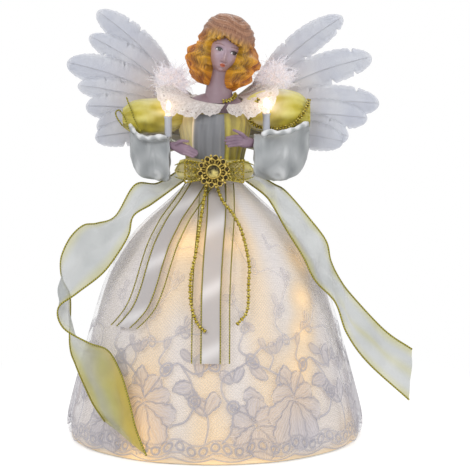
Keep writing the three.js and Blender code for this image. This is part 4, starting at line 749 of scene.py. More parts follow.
def lace_marks(x, y):
    """Cords, filled parts and hatching of the lace at hem position x and height y: petals, rings
    and stems of the repeat and of its neighbours, then the eyelet chain between two cords. All
    are fainter toward the waist."""
    x = (x + REPEAT / 2) % REPEAT - REPEAT / 2
    cord, fill, hatch = np.zeros_like(x), np.zeros_like(x), np.zeros_like(x)
    petals = np.concatenate([BUDS, PETALS[::-1] * PETAL_STRETCH])
    for shift in (-REPEAT, 0, REPEAT):
        for row in petals:
            near = (np.abs(x - shift - row[0]) < row[2] + 3) & (np.abs(y - row[1]) < row[2] + 3)
            if not near.any():
                continue
            line, inside, lines, vein = petal_marks(x[near] - shift, y[near], *row)
            cord[near] = np.maximum(cord[near] * (1 - inside * 0.85), np.maximum(line, vein * 0.55))
            fill[near] = np.maximum(fill[near], inside)
            hatch[near] = np.where(inside > 0, lines, hatch[near])
        for ring_x, ring_y, radius in RINGS:
            away = np.hypot(x - shift - ring_x, y - ring_y)
            cord = np.maximum(cord, bell(away - radius, 0.7))
            fill = np.maximum(fill, (away < radius) * 0.8)
        for stem in STEMS:
            run = spline(stem, np.linspace(0, 1, 14))
            for first, last in zip(run[:-1], run[1:]):
                near = (np.abs(x - shift - first[0]) < 8) & (np.abs(y - first[1]) < 8)
                if not near.any():
                    continue
                place = np.stack([x[near] - shift - first[0], y[near] - first[1]], -1)
                step = last - first
                share = np.clip((place @ step) / (step @ step), 0, 1)
                gap = np.linalg.norm(place - share[:, None] * step, axis=-1)
                cord[near] = np.maximum(cord[near], 0.95 * bell(gap, 0.68))
    chain = 9.6 - 3.0 * np.abs(np.sin(np.pi * x / (REPEAT / 4)))
    ring = np.hypot(x % EYELET_STEP - EYELET_STEP / 2, y - chain)
    cord = np.maximum(cord, bell(ring - EYELET_RADIUS, 0.75))
    for off in (-CHAIN_HALF, CHAIN_HALF):
        cord = np.maximum(cord, 0.85 * bell(y - chain - off, 0.6))
    fill = np.maximum(fill, (np.abs(y - chain) < CHAIN_HALF) * 0.35)
    fill = np.where(ring < EYELET_RADIUS - 0.4, 0.1, fill)
    faint = 1 - 0.5 * smooth(y, 55, 110)
    cord = np.clip(np.maximum(cord * faint, bell(y, 0.9)), 0, 1)
    return cord, np.maximum(fill * faint, (y < 3) * 0.9), hatch


def make_lace():
    """The lace skirt in a front and a back half: the bell's profile lifted over the lining, its
    gathered folds, a fine crimp near the waist and a scalloped hem. Each half has its first and
    last degrees, columns, rows and flat width in metres."""
    lace = net_lace()
    halves = {"front": (-95, 95, 470, 250, 0.36), "back": (95, 265, 330, 190, 0.32)}
    for half, (first, last, columns, rows, width) in halves.items():
        angle = np.radians(along(columns, first, last))
        hem = LACE_HEM + SCALLOP_DEPTH * (1 - np.abs(np.sin(angle * SCALLOPS / 2)))
        height = hem + (BELL_HEIGHT - hem) * down(rows)
        crimp = 0.25 * np.sin(96 * angle) * smooth(height, 60, 170) * (1 - smooth(height, 172, 182))
        grid = on_bell(angle, height, LACE_LIFT + fold_lift(angle, height) + crimp)
        step = np.linalg.norm(np.diff(grid, axis=0), axis=-1)
        rise = np.concatenate([np.zeros((1, columns)), np.cumsum(step, axis=0)])
        way = (angle - np.radians(REPEAT_START)) * HEM_RADIUS + 0 * height
        cord, fill, hatch = lace_marks(way, rise)
        piece = make(f"lace_cloth_{half}", [patch(
            grid, uv=(way, rise), cord=cord, fill=fill, hatch=hatch, glow=lamp_glow(grid, angle))],
            lace, replaces=("lace_skirt",))


# Streamers, tails and beads.

# Streamers: degrees from the front, shares of the bell's height, 1 where it crosses over the
# other, and the height and spread of each painted highlight across the satin.
STREAMERS = {
    "left": ([-30, -33, -34, -33, -33, -35, -39, -43], [0.985, 0.9, 0.8, 0.7, 0.62, 0.55, 0.5, 0.465],
             1, [(165, 6), (128, 5), (92, 6)]),
    "centre": ([4, 2, 0, -1, -1, -1], [0.985, 0.87, 0.75, 0.6, 0.47, 0.355],
               0, [(152, 6), (112, 5), (72, 5)])}
RIBBON_HALF = 13
# Lurex lines across the ribbon, in millimetres from its middle, and the radius of their cords.
LUREX_LINES, LUREX_RADIUS = np.array([-12.6, -6.4, 6.4, 12.6]), 0.42


def make_streamer(name, degrees, shares, crosses, painted_highlights_at, material, cord):
    """A ribbon down the skirt: its middle follows angles at heights, it lies on the fold crests
    with a slow ripple, and its stripes follow the distance from its middle."""
    height = down(150, shares[0] * BELL_HEIGHT, shares[-1] * BELL_HEIGHT)
    run = spline(np.stack([np.radians(degrees), shares], -1), np.linspace(0, 1, 200))
    middle = np.interp(height, run[::-1, 1] * BELL_HEIGHT, run[::-1, 0])

    def at(off, lift=0.0):
        """Points off millimetres beside the middle, lift above the ribbon."""
        ripple = 0.25 * np.sin(height / 9.0 + off / 9.0)
        over = crosses * 0.8 * smooth(height / BELL_HEIGHT, 0.8, 0.86)
        rise = STREAMER_LIFT + 0.5 + crest_lift(height) + over + ripple + lift
        reach = np.abs(on_bell(0.0, height, rise)[..., 1])
        return on_bell(middle + off / reach, height, rise)

    off = along(45, -RIBBON_HALF, RIBBON_HALF)
    grid = at(off)
    line = bell(np.abs(off[..., None] - LUREX_LINES).min(-1), 0.45)
    satin = smooth(np.abs(off), 6.9, 6.1)
    # Painted highlights: slanted bands of shine at the listed heights.
    shine = sum(bell(height - place - off * 0.5, wide) for place, wide in painted_highlights_at)
    tint = smooth(np.abs(off), 7, 12) * smooth(height, 120, 178)
    ribbon = make(f"{name}_streamer_ribbon", [patch(
        grid, uv=(off, height), line=line * 0.4, satin=satin, shine=shine, tint=tint)],
        material, replaces=(f"{name}_streamer",))
    lines = [tube(at(np.full((1, 1), place), 0.35)[:, 0], LUREX_RADIUS, 6) for place in LUREX_LINES]
    make(f"{name}_streamer_lurex", lines, cord)


# Tails, from the sash down: the outer edge and the inner edge, as shares of hem radius, hem
# radius and bell height.
TAILS = {
    "left": [
        [-0.40, -0.02, 0.995, -0.33, -0.21, 0.96], [-0.55, -0.08, 0.99, -0.43, -0.29, 0.92],
        [-0.68, -0.13, 0.87, -0.54, -0.37, 0.88], [-0.81, -0.10, 0.84, -0.57, -0.42, 0.81],
        [-0.91, -0.08, 0.83, -0.64, -0.44, 0.74], [-1.00, -0.10, 0.78, -0.75, -0.42, 0.66],
        [-1.06, -0.12, 0.70, -0.93, -0.39, 0.58], [-1.05, -0.14, 0.62, -1.04, -0.45, 0.53],
        [-0.99, -0.20, 0.55, -1.00, -0.51, 0.46], [-0.98, -0.33, 0.38, -0.83, -0.58, 0.41],
        [-0.93, -0.43, 0.31, -0.69, -0.69, 0.39], [-0.86, -0.54, 0.24, -0.60, -0.80, 0.32],
        [-0.79, -0.69, 0.19, -0.54, -0.89, 0.23], [-0.73, -0.78, 0.155, -0.49, -0.96, 0.13],
        [-0.70, -0.83, 0.14, -0.42, -1.03, 0.04]],
    "right": [
        [0.40, -0.02, 0.995, 0.33, -0.21, 0.96], [0.49, -0.10, 0.965, 0.39, -0.28, 0.92],
        [0.65, -0.17, 0.86, 0.48, -0.38, 0.83], [0.76, -0.21, 0.775, 0.59, -0.46, 0.73],
        [0.79, -0.25, 0.70, 0.67, -0.50, 0.64], [0.85, -0.23, 0.63, 0.81, -0.42, 0.55],
        [0.94, -0.21, 0.56, 0.89, -0.41, 0.43], [1.17, -0.17, 0.42, 1.04, -0.35, 0.31],
        [1.36, -0.17, 0.345, 1.33, -0.27, 0.155]]}
TAIL_WIRE = 0.62


def make_tail(side, rows, material, cord):
    """A wired ribbon between two edge curves: each row crosses from one to the other, with
    lengthwise ripples that die out at the wired edges. Its tint deepens at the edges, at the
    sash and, on the left, toward the end."""
    rows = np.array(rows)
    size = np.array([HEM_RADIUS, HEM_RADIUS, BELL_HEIGHT])
    seat = BAND_FRONT + 1.0

    def start_at(degrees, share):
        """A place on the sash: degrees from the front and a share of the sash's height."""
        turn = np.radians(degrees)
        return [SIGN[side] * seat * np.sin(turn), -seat * np.cos(turn), BAND_BASE + share * BAND_HEIGHT]

    outer = np.vstack([start_at(76, 0.55), rows[:, :3] * size])
    inner = np.vstack([start_at(55, 0.05), rows[:, 3:] * size])
    run, across = down(260), along(40)
    edge_a, edge_b = spline(outer, run[:, 0]), spline(inner, run[:, 0])
    middle = (edge_a + edge_b) / 2
    grid = edge_b[:, None] * (1 - across[..., None]) + edge_a[:, None] * across[..., None]
    normal = unit(np.cross(unit(edge_a - edge_b), unit(np.gradient(middle, axis=0))))
    ripple = np.sin(np.pi * across) * (
        1.3 * np.sin(run * 46 + across * 5) + 1.0 * np.sin(run * 23 - across * 9 + 1))
    grid = grid + (ripple * smooth(run, 0, 0.1))[..., None] * normal[:, None]
    tint = 0.4 * smooth(np.minimum(across, 1 - across), 0.25, 0.0) + 0.04
    if side == "left":
        tint = (tint + 0.75 * smooth(run, 0.62, 0.9) * smooth(across, 0.75, 0.1)
                + 0.25 * smooth(run, 0.55, 0.8) + 0.35 * smooth(run, 0.12, 0.0))
    else:
        crease = bell(across - 0.45 - 0.4 * (run - 0.8), 0.1)
        tint = (tint + 0.6 * smooth(run, 0.3, 0.05) * smooth(across, 0.7, 0.2)
                + 0.25 * crease * smooth(run, 0.6, 0.8))
    width = np.linalg.norm(edge_a - edge_b, axis=1)[:, None]
    length = path_length(middle)
    ribbon = make(f"{side}_tail_ribbon", [patch(
        grid, uv=((across - 0.5) * width, run * length), tint=np.clip(tint, 0, 1))],
        material, replaces=(f"{side}_ribbon_tail",))
    wires = [tube(even_path(edge, 320), TAIL_WIRE, 7) for edge in (outer, inner)]
    make(f"{side}_tail_wires", wires, cord)


# Strands: degrees from the front, shares of the bell's height, 1 where it leaves the streamer.
STRANDS = {
    "left": ([-12, -11, -10, -10, -11, -10, -7, -3], [0.97, 0.915, 0.84, 0.73, 0.65, 0.57, 0.5, 0.465], 0),
    "right": ([3, 9, 16, 19, 19, 17, 15, 10], [0.97, 0.91, 0.86, 0.8, 0.7, 0.63, 0.54, 0.49], 1)}
BEAD_STEP, BIG_BEAD, SMALL_BEAD, BEAD_WIRE = 2.1, 1.45, 1.0, 0.38


def make_strand(side, degrees, shares, leaves, material):
    """Beads on a wire: a round profile whose radius swells and shrinks once for each bead, with
    every other bead small."""
    shares = np.array(shares)
    height = shares * BELL_HEIGHT
    drop = leaves * 0.8 * smooth(-shares, -0.82, -0.76)
    lift = STRAND_LIFT + 0.4 + crest_lift(height) + 0.8 * smooth(shares, 0.8, 0.86) - drop
    knots = on_bell(np.radians(degrees), height, lift)
    beads = round(path_length(even_path(knots, 400)) / BEAD_STEP)
    path = even_path(knots, beads * 8 + 1)
    phase = np.linspace(0, beads, beads * 8 + 1)
    swell = np.abs(np.sin(np.pi * phase)) ** 0.6
    bead = np.where(phase.astype(int) % 2 == 0, BIG_BEAD, SMALL_BEAD)
    radius = BEAD_WIRE + (bead - BEAD_WIRE) * swell
    radius[[0, -1]] = 0
    # The bead mark paints shade in the hollows: full on each bead, low on the wire between.
    make(f"{side}_strand_beads", [tube(path, radius, 10, bead=swell)], material,
         closed=0.001, replaces=(f"{side}_bead_strand",))


# Stage.

# The floor's own light, where its shadowed part starts and stops fading, and the surround's light.
FLOOR_GLOW, FLOOR_NEAR, FLOOR_FAR, SURROUND_GLOW = 0.5, 0.13, 0.34, 0.48
# Each lamp's place and width in metres, and its power in watts.
LAMPS = {"key": ((-0.55, -0.95, 0.85), 0.55, 4.9), "fill": ((0.8, -0.75, 0.35), 0.7, 2.7),
         "top": ((0.1, 0.5, 1.1), 0.6, 3.4)}
FLOOR_HALF, FLOOR_DROP = 3000, 0.4


def seen_rays(tree):
    """1 for rays that look, straight or through mirrors and sheer cloth, 0 for rays that light."""
    seen = add(tree, "LightPath", out="Is Camera Ray")
    for other in ("Is Glossy Ray", "Is Transmission Ray"):
        seen = add(tree, "Math", seen, add(tree, "LightPath", out=other), operation="MAXIMUM")
    return seen


def make_stage():
    """A plain white floor that keeps the object's soft shadow near it and is plain white further
    out, a white surround, and three large soft lamps."""
    material, tree = start("white_studio_floor", Roughness=0.9, Base_Color="#e6e6e6",
                           Emission_Color="#ffffff")
    seen = seen_rays(tree)
    drive(tree, Emission_Strength=add(tree, "Math", seen, FLOOR_GLOW, operation="MULTIPLY"))
    away = add(tree, "VectorMath", add(tree, "TexCoord", out="Object"), operation="LENGTH", out="Value")
    far = add(tree, "MapRange", away, FLOOR_NEAR, FLOOR_FAR, interpolation_type="SMOOTHSTEP")
    mixed = add(tree, "MixShader", add(tree, "Math", far, seen, operation="MULTIPLY"),
                tree.nodes["Principled BSDF"].outputs[0], add(tree, "Emission", "#ffffff", 1.0))
    tree.links.new(mixed, tree.nodes["Material Output"].inputs["Surface"])
    sheet = patch(surface(along(3, -FLOOR_HALF, FLOOR_HALF), down(3, -FLOOR_HALF, FLOOR_HALF),
                          -FLOOR_DROP))
    mesh = bpy.data.meshes.new("floor")
    mesh.from_pydata((sheet["points"] * MM).tolist(), [], sheet["quads"].tolist())
    mesh.materials.append(material)
    floor = bpy.data.objects.new("floor", mesh)
    bpy.context.scene.collection.objects.link(floor)

    world = bpy.data.worlds.new("white_surround")
    bpy.context.scene.world = world
    world.use_nodes = True
    tree = world.node_tree
    background = tree.nodes["Background"]
    background.inputs["Color"].default_value = (1, 1, 1, 1)
    light = add(tree, "MapRange", seen_rays(tree), 0, 1, SURROUND_GLOW, 1.0)
    tree.links.new(light, background.inputs["Strength"])

    for name, (spot, width, power) in LAMPS.items():
        data = bpy.data.lights.new(name, "AREA")
        data.size = width
        data.energy = power
        lamp = bpy.data.objects.new(name, data)
        bpy.context.scene.collection.objects.link(lamp)
        lamp.location = spot
        lamp.rotation_euler = (Vector((0, 0, 0.15)) - Vector(spot)).to_track_quat("-Z", "Y").to_euler()
    bpy.context.scene.view_settings.view_transform = "Standard"


make_stage()
make_lining()
make_lace()
ribbon_material, cord_material, bead_material = striped_ribbon(), lurex_cord(), plated_beads()
for streamer, values in STREAMERS.items():
    make_streamer(streamer, *values, ribbon_material, cord_material)
sheer = sheer_organza()
for side_name, tail_rows in TAILS.items():
    make_tail(side_name, tail_rows, sheer, cord_material)
for side_name, values in STRANDS.items():
    make_strand(side_name, *values, bead_material)


# The bust.

def shoulder_glow(points, spread=13.0, strength=1.0):
    """Light from the two shoulder lamps: a bell curve of the distance to each bulb, the left one
    weaker."""
    left, right = (bell(np.linalg.norm(points - bulb, axis=-1), spread)
                   for bulb in (LEFT_BULB, RIGHT_BULB))
    return strength * np.maximum(0.6 * left, right)


def on_head(points):
    """Tilt points of the upright head about the front-to-back axis and put them in place."""
    x, y, z = points[..., 0], points[..., 1], points[..., 2]
    c, s = np.cos(HEAD_TILT), np.sin(HEAD_TILT)
    return surface(x * c + z * s, y, z * c - x * s) + HEAD_CENTRE


def on_chest(azimuth, level, lift=0.0):
    """A point of the half dome under neck and collars, from its azimuth and level, raised by
    lift."""
    wide, deep = 24 + lift, 15 + lift
    return surface(wide * np.cos(level) * np.sin(azimuth), -deep * np.cos(level) * np.cos(azimuth),
                   BUST_BASE + deep * np.sin(level))


# Swells and hollows of the face: across, up, their spreads, and height, in millimetres.
FACE = np.array([
    [1.4, -0.6, 1.3, 3.6, 1.5], [1.4, -4.3, 1.5, 1.5, 2.3], [-0.3, -4.9, 0.9, 0.8, 0.6],
    [3.1, -4.9, 0.9, 0.8, 0.6], [-4.2, 2.4, 2.9, 1.7, -1.3], [7.0, 2.4, 2.9, 1.7, -1.3],
    [-4.1, 2.3, 1.7, 1.1, 0.8], [6.9, 2.3, 1.7, 1.1, 0.8], [-3.8, 5.0, 3.4, 1.1, 0.5],
    [6.6, 5.0, 3.4, 1.1, 0.5], [-5.6, -4.0, 3.2, 3.2, 0.8], [8.2, -4.0, 3.2, 3.2, 0.8],
    [1.4, -7.3, 2.0, 0.6, 0.9], [1.4, -8.7, 1.6, 0.65, 0.9], [1.4, -8.0, 2.2, 0.3, -0.5],
    [1.4, -10.0, 2.0, 0.7, -0.4], [1.5, -12.0, 2.6, 1.6, 1.0]])
# Where the paint goes, over the head's centre: the face's middle line, then heights.
FACE_MIDDLE, EYE_HEIGHT, BROW_HEIGHT, MOUTH_HEIGHT = 1.4, 2.3, 5.5, -7.8
EYE_HALF, MOUTH_HALF = 2.4, 1.9
# The head's half width, half depth, and heights below and above its centre.
HEAD_WIDE, HEAD_DEEP, HEAD_LOW, HEAD_HIGH = 13.6, 14.6, 13.6, 17.5


def face_paint(x, z, front):
    """The painter's colours on the face, from places across and up it, with painted light and shade
    laid in the same way.
    """
    skin = np.broadcast_to(paint("#b99ca2"), x.shape + (3,)).copy()
    x = x - FACE_MIDDLE

    def lay(code, share):
        """Mix a colour over a share of what is there, on the front alone."""
        share = (np.clip(share, 0, 1) * front)[..., None]
        skin[:] = skin * (1 - share) + paint(code) * share

    # Painted warm light toward the lower sides of the face, painted bluish shade over its middle, a painted
    # highlight down the nose, and painted shadow under the fringe.
    lay("#cfa897", 0.6 * smooth(np.abs(x), 6, 12) * smooth(-z, -6, 2))
    lay("#9b8da8", 0.5 * bell(x, 6.5) * bell(z + 0.5, 4.5))
    lay("#c5a9a9", 0.7 * bell(x, 1.3) * bell(z + 2.8, 3.6))
    lay("#9a8da6", 0.5 * bell(x, 6) * bell(z - 9, 3))
    for side in (-1, 1):
        eye = (x - side * 5.5) / EYE_HALF
        lid = 1.15 * np.sqrt(np.clip(1 - eye ** 2, 0, 1))
        level = z - EYE_HEIGHT
        lay("#80708c", 0.6 * bell(eye, 1.5) * bell(z - 3.4, 1.6))
        lay("#efeef0", smooth(lid - np.abs(level), -0.1, 0.25))
        iris = np.hypot(x - 0.35 - side * 5.4, level - 0.15)
        lay("#0c0708", smooth(1.5 - iris, -0.15, 0.2) * smooth(lid - np.abs(level), -0.2, 0.1))
        lay("#1d1416", smooth(0.6 - np.abs(level - 0.05 - lid), 0, 0.25) * (np.abs(eye) < 1.15))
        lay("#5a3f3c", 0.5 * smooth(0.3 - np.abs(level + lid), 0, 0.2) * (np.abs(eye) < 0.9))
        over = x - side * 5.6
        brow = BROW_HEIGHT + 0.8 * (1 - (over / 3.6) ** 2)
        lay("#6d4a3a", 0.75 * smooth(0.38 - np.abs(z - brow), 0, 0.3) * (np.abs(over) < 3.2))
    lip = 1.35 * np.sqrt(np.clip(1 - (x / MOUTH_HALF) ** 2, 0, 1))
    lay("#c4633c", 0.95 * smooth(lip - np.abs(z - MOUTH_HEIGHT), -0.1, 0.35))
    lay("#7d3322", 0.7 * bell(z - MOUTH_HEIGHT + 0.05, 0.2) * (np.abs(x) < 1.8))
    # Painted shadow under the nose.
    lay("#77596a", 0.5 * bell(x, 1.8) * bell(z + 5.7, 0.5))
    return skin


def make_bust():
    """Head: an ellipsoid by azimuth and height whose lower half is shorter and whose jaw narrows,
    with swells and hollows added. Chest: a half dome with the hollow of the throat. Neck: a round
    tube between them that widens to its base."""
    turn = along(241, -1, 1)
    azimuth, level = np.pi * (0.55 * turn + 0.45 * turn ** 3), np.radians(down(190, -90, 90))
    ahead, front = np.clip(np.cos(azimuth), 0, 1), smooth(np.cos(azimuth), 0.1, 0.5)
    z = np.where(level < 0, HEAD_LOW, HEAD_HIGH) * np.sin(level)
    jaw = 1 - 0.30 * smooth(-z, 3, 12) * ahead
    x = HEAD_WIDE * jaw * np.cos(level) * np.sin(azimuth)
    lift = sum(height * bell(x - a, wide) * bell(z - b, tall) for a, b, wide, tall, height in FACE)
    y = -HEAD_DEEP * np.cos(level) * np.cos(azimuth) - lift * front - 1.6 * smooth(-z, 4, 13) * ahead
    patches = [patch(on_head(surface(x, y, z)), paint=face_paint(x, z, front))]

    skin = paint("#978089")
    chest = on_chest(along(97, -np.pi, np.pi), np.radians(down(40, 0, 90)))
    hollow = bell(chest[..., 0] - 4, 3) * bell(chest[..., 2] - 243, 4)
    chest[..., 1] += 0.8 * hollow
    # Painted shade: the skin darkens in the hollow of the throat.
    patches.append(patch(chest, paint=skin * (1 - 0.25 * hollow[..., None])))

    share = np.linspace(0, 1, 40)
    neck = spline(on_figure(
        [[0.045, -0.02, 0.95], [0.05, -0.03, 1.1], [0.062, -0.03, 1.25], [0.09, -0.02, 1.45]]), share)
    girth = np.interp(share, [0, 0.25, 0.5, 1], [13.5, 9.8, 9.0, 9.0])
    patches.append(tube(neck, girth, 48, across=np.array([1.0, 0, 0]), paint=skin))
    make("painted_bust", patches, painted_resin(), closed=0.01, replaces=("bust",))


# The bob's outline from its underside to the crown: height over the head's centre, half width to
# the left and half width to the right.
BOB = [
    [-19, 0, 0], [-21, 6, 5], [-23.4, 9, 8], [-23.8, 12.3, 11], [-20.5, 17.8, 15.6], [-17, 21.2, 20.2],
    [-12.5, 22.6, 23.4], [-9.3, 25.6, 23.8], [-5.5, 25.6, 24.2], [-2, 24.6, 27.0], [1.5, 22.2, 27.2],
    [5, 20.4, 23.6], [10, 19.6, 20.2], [14, 19.4, 18.9], [18.5, 18.0, 17.4], [22, 16.4, 15.2],
    [25, 13.9, 11.9], [27.4, 10.5, 8.1], [28.8, 6.3, 4.6], [29.4, 0, 0]]
LOCKS, STRANDS_ROUND = 12, 58


def face_window(azimuth, x, z):
    """1 where the face is open: between a left and a right edge that follow the cheeks and the neck,
    under a fringe that parts in the middle and ends in small points."""
    low = np.interp(z, [-25, -17, -10, 0, 6, 10], [-7.0, -8.8, -10.4, -13.0, -12.6, -11.2])
    high = np.interp(z, [-25, -19, -13, -8.5, -2.7, 2, 7, 11],
                     [9.6, 9.4, 9.2, 10.2, 12.8, 13.4, 12.6, 10.6])
    top = np.interp(x, [-12, -9, -5, -2.5, 0, 4.6, 8.5, 12.5],
                    [6.5, 8.2, 9.8, 11.8, 10.6, 8.9, 8.8, 7.0])
    top = top + 0.45 * np.cos(2.3 * x)
    side = smooth(x - low, -0.4, 0.9) * smooth(high - x, -0.4, 0.9)
    return side * smooth(top - z, -0.5, 0.9) * (np.cos(azimuth) > 0)


def make_hair():
    """One carved form round the head's upright axis: the bob's outline, whose half width passes
    from left to right with the sine of the azimuth. Locks are a cosine of twelve times the azimuth
    whose phase sways with height, strands a finer one, curls a wave down each lock; the waves on the
    crown run level. Inside the face window the surface is drawn in behind the face."""
    azimuth = along(421, -np.pi, np.pi)
    table = even_path(BOB, 215)[:, None]
    z, left, right = (table[..., k] for k in range(3))
    under = smooth(down(215), 0.08, 0.2)
    reach = left + (right - left) * (0.5 + 0.5 * np.sin(azimuth))
    sway = 1.9 * np.sin(0.42 * z + azimuth + 0.6) + 0.9 * np.sin(0.9 * z - 2 * azimuth)
    lock = 0.5 + 0.5 * np.cos(LOCKS * azimuth + sway)
    strand = np.cos(STRANDS_ROUND * azimuth + 3.2 * sway)
    curl = np.sin(0.62 * z + 2.2 * np.sin(3 * azimuth) + 1.0 * np.sin(7 * azimuth))
    swing, swirl = np.sin(2 * azimuth + 0.5), np.sin(5 * azimuth + 0.25 * z)
    level = np.sin(1.3 * z + 2.6 * swing + 1.3 * swirl)
    fine = np.sin(4.1 * z + 5.1 * swing + 2.5 * swirl)
    crown = smooth(z + 1.6 * np.sin(3 * azimuth) + 1.5 * np.cos(azimuth), 9, 18)
    x = reach * np.sin(azimuth)
    fringe = smooth(np.cos(azimuth), 0.55, 0.8) * smooth(z, 5, 8) * (1 - smooth(z, 12, 17))
    comb = np.cos(1.9 * x + 1.1 * np.sin(0.55 * z + 0.3 * x)) * (0.7 + 0.3 * np.sin(0.8 * x + 1))
    body = 1.7 * lock ** 0.7 + 0.28 * strand + 1.2 * curl * (0.4 + 0.6 * lock) - 1.3
    top = 0.4 * level + 0.15 * fine
    lift = (body * (1 - crown) + top * crown) * smooth(reach, 1, 9)
    wide = reach + (lift * (1 - fringe) + fringe * (0.7 + 0.5 * comb)) * under
    depth = 0.9 - 0.1 * smooth(np.cos(azimuth), 0.2, 0.9)
    grid = surface(wide * np.sin(azimuth), 0.5 - depth * wide * np.cos(azimuth), z)
    opened = face_window(azimuth, x, z)[..., None]
    grid = grid * (1 - opened) + grid * np.array([0.3, 0.12, 1.0]) * opened
    # The crest mark is painted shade and highlight: dark in the grooves between locks, strands and curls,
    # light on their tops, light and dark along the crown's level waves and the fringe's comb.
    low_crest = 0.1 + 0.6 * lock + 0.15 * strand + 0.2 * curl
    crest = low_crest * (1 - crown) + (0.6 + 0.22 * level + 0.16 * fine) * crown
    crest = crest * (1 - fringe) + fringe * (0.5 + 0.45 * comb)
    gold = smooth(np.cos(azimuth), 0.3, 0.85) * smooth(z, -26, -4)
    brown = np.clip(crown + 0.45 * smooth(z, 2, 12) * (1 - gold), 0, 1)
    make("painted_bob", [patch(
        on_head(grid), uv=(azimuth * 20, z), crest=np.clip(crest, 0, 1), crown=brown, gold=gold)],
        painted_hair(), closed=0.02, replaces=("hair",))


# Hands, as shares of the figure: the palm's path, the knuckles' middle, fingertips, the thumb.
HANDS = {
    "left": dict(
        palm=[[-0.7, -0.4, 0.45], [-0.54, -0.58, 0.445], [-0.45, -0.7, 0.435],
              [-0.37, -0.77, 0.41], [-0.31, -0.81, 0.38]],
        knuckle=[-0.36, -0.8, 0.4],
        tips=[[-0.19, -0.85, 0.37], [-0.18, -0.87, 0.348], [-0.2, -0.87, 0.326], [-0.23, -0.86, 0.308]],
        thumb=[[-0.46, -0.76, 0.46], [-0.38, -0.82, 0.5], [-0.29, -0.86, 0.495]]),
    "right": dict(
        palm=[[0.7, -0.38, 0.475], [0.52, -0.5, 0.47], [0.43, -0.62, 0.475],
              [0.355, -0.73, 0.49], [0.28, -0.8, 0.495]],
        knuckle=[0.33, -0.79, 0.5],
        tips=[[0.125, -0.86, 0.535], [0.11, -0.88, 0.5], [0.125, -0.88, 0.465], [0.15, -0.87, 0.435]],
        thumb=[[0.4, -0.67, 0.485], [0.33, -0.82, 0.575], [0.21, -0.86, 0.635]])}
# The palm's half height and half thickness from wrist to knuckles, and each finger's root.
PALM = [[2.4, 2.4], [2.4, 2.2], [3.4, 2.3], [4.2, 2.3], [3.7, 1.7]]
FINGER_ROOTS, FINGER_RADIUS, THUMB_RADIUS = np.array([0.62, 0.21, -0.21, -0.62]) * 4.4, 1.25, 1.4
HAND_GRAIN = 0.34


def make_hand(side, palm, knuckle, tips, thumb, material):
    """Palm, thumb and four fingers as rounded tubes on bent paths, then one skin over them all by
    a fine remesh, smoothed."""
    share = np.linspace(0, 1, 36)
    taper = 1 - 0.35 * share ** 2
    patches = [closed_tube(spline(on_figure(palm), share), spline(PALM, share), 20,
                           across=np.array([0, 0, 1.0]))]
    for i, tip in enumerate(tips):
        root, end = on_figure(knuckle) + np.array([0, 0, FINGER_ROOTS[i]]), on_figure(tip)
        bend = (root + end) / 2 + np.array([0, -0.5, 0.9 - 0.2 * i])
        path = spline([root, (root + bend) / 2 + np.array([0, 0, 0.3]), bend, end], share)
        joints = 1 + 0.06 * np.cos(share * 12)
        patches.append(closed_tube(path, FINGER_RADIUS * taper * joints, 14))
    patches.append(closed_tube(spline(on_figure(thumb), share), THUMB_RADIUS * taper, 14))
    hand = make(f"{side}_painted_hand", patches, material, closed=0.001,
                replaces=(f"{side}_hand",))
    skin = hand.modifiers.new("skin", "REMESH")
    skin.mode, skin.voxel_size, skin.use_smooth_shade = "VOXEL", HAND_GRAIN * MM, True
    even = hand.modifiers.new("even", "SMOOTH")
    even.factor, even.iterations = 0.5, 6
    finished = bpy.data.meshes.new_from_object(hand.evaluated_get(bpy.context.evaluated_depsgraph_get()))
    hand.modifiers.clear()
    hand.data = finished
    if not finished.materials:
        finished.materials.append(material)


# Sleeves, puffs and collars.

# Ovals along the arm from the shoulder out: centre, half height and half depth, as shares.
PUFFS = {
    "left": [[-0.28, 0, 0.82, 0.1, 0.13], [-0.5, -0.02, 0.8, 0.2, 0.26], [-0.75, 0, 0.785, 0.22, 0.29],
             [-0.97, 0, 0.775, 0.2, 0.26], [-1.1, 0, 0.77, 0.11, 0.14]],
    "right": [[0.28, 0, 0.84, 0.1, 0.13], [0.5, -0.02, 0.84, 0.23, 0.27], [0.75, 0, 0.86, 0.26, 0.3],
              [1.0, 0, 0.84, 0.23, 0.27], [1.14, 0, 0.8, 0.13, 0.15]]}
# The same from the elbow to the sleeve's mouth.
SLEEVES = {
    "left": [[-1.01, -0.1, 0.47, 0.17, 0.12], [-0.94, -0.15, 0.37, 0.25, 0.18],
             [-0.79, -0.3, 0.3, 0.265, 0.22], [-0.64, -0.45, 0.285, 0.265, 0.23],
             [-0.53, -0.55, 0.285, 0.265, 0.21]],
    "right": [[1.13, -0.08, 0.55, 0.15, 0.12], [1.05, -0.13, 0.43, 0.28, 0.18],
              [0.87, -0.28, 0.32, 0.29, 0.22], [0.67, -0.43, 0.3, 0.275, 0.23],
              [0.47, -0.54, 0.325, 0.25, 0.21]]}
HEM_ROLLS = {
    "left": [[-61, -7, 223], [-57, -14, 218.5], [-53, -20, 214.8], [-46, -25, 213.6],
             [-39, -28, 214.6], [-33, -29, 214.2]],
    "right": [[33, -29, 215.6], [38, -29, 218.2], [46, -27, 217.6], [55, -22, 219.5],
              [63, -14, 223], [67, -8, 224.5]]}
PUFF_WIRES = {
    "left": [[[-63, -9, 243], [-60, -10, 235], [-56, -13, 225], [-52, -17, 218]],
             [[-66, -4, 222], [-70, -4, 228], [-71, -4, 232], [-68, -7, 233.5], [-64, -10, 228],
              [-61, -12, 220]]],
    "right": []}
PUFF_WIRE = 0.55
# Folds are added as shares of these mean radii.
SLEEVE_RADIUS, PUFF_RADIUS = 15, 16
# The sleeve's lining: how many rows back from the mouth, and how far it is drawn in there.
SLEEVE_LINING = ((0, 0.5), (3, 1.2), (10, 1.6), (22, 1.8), (38, 1.8))
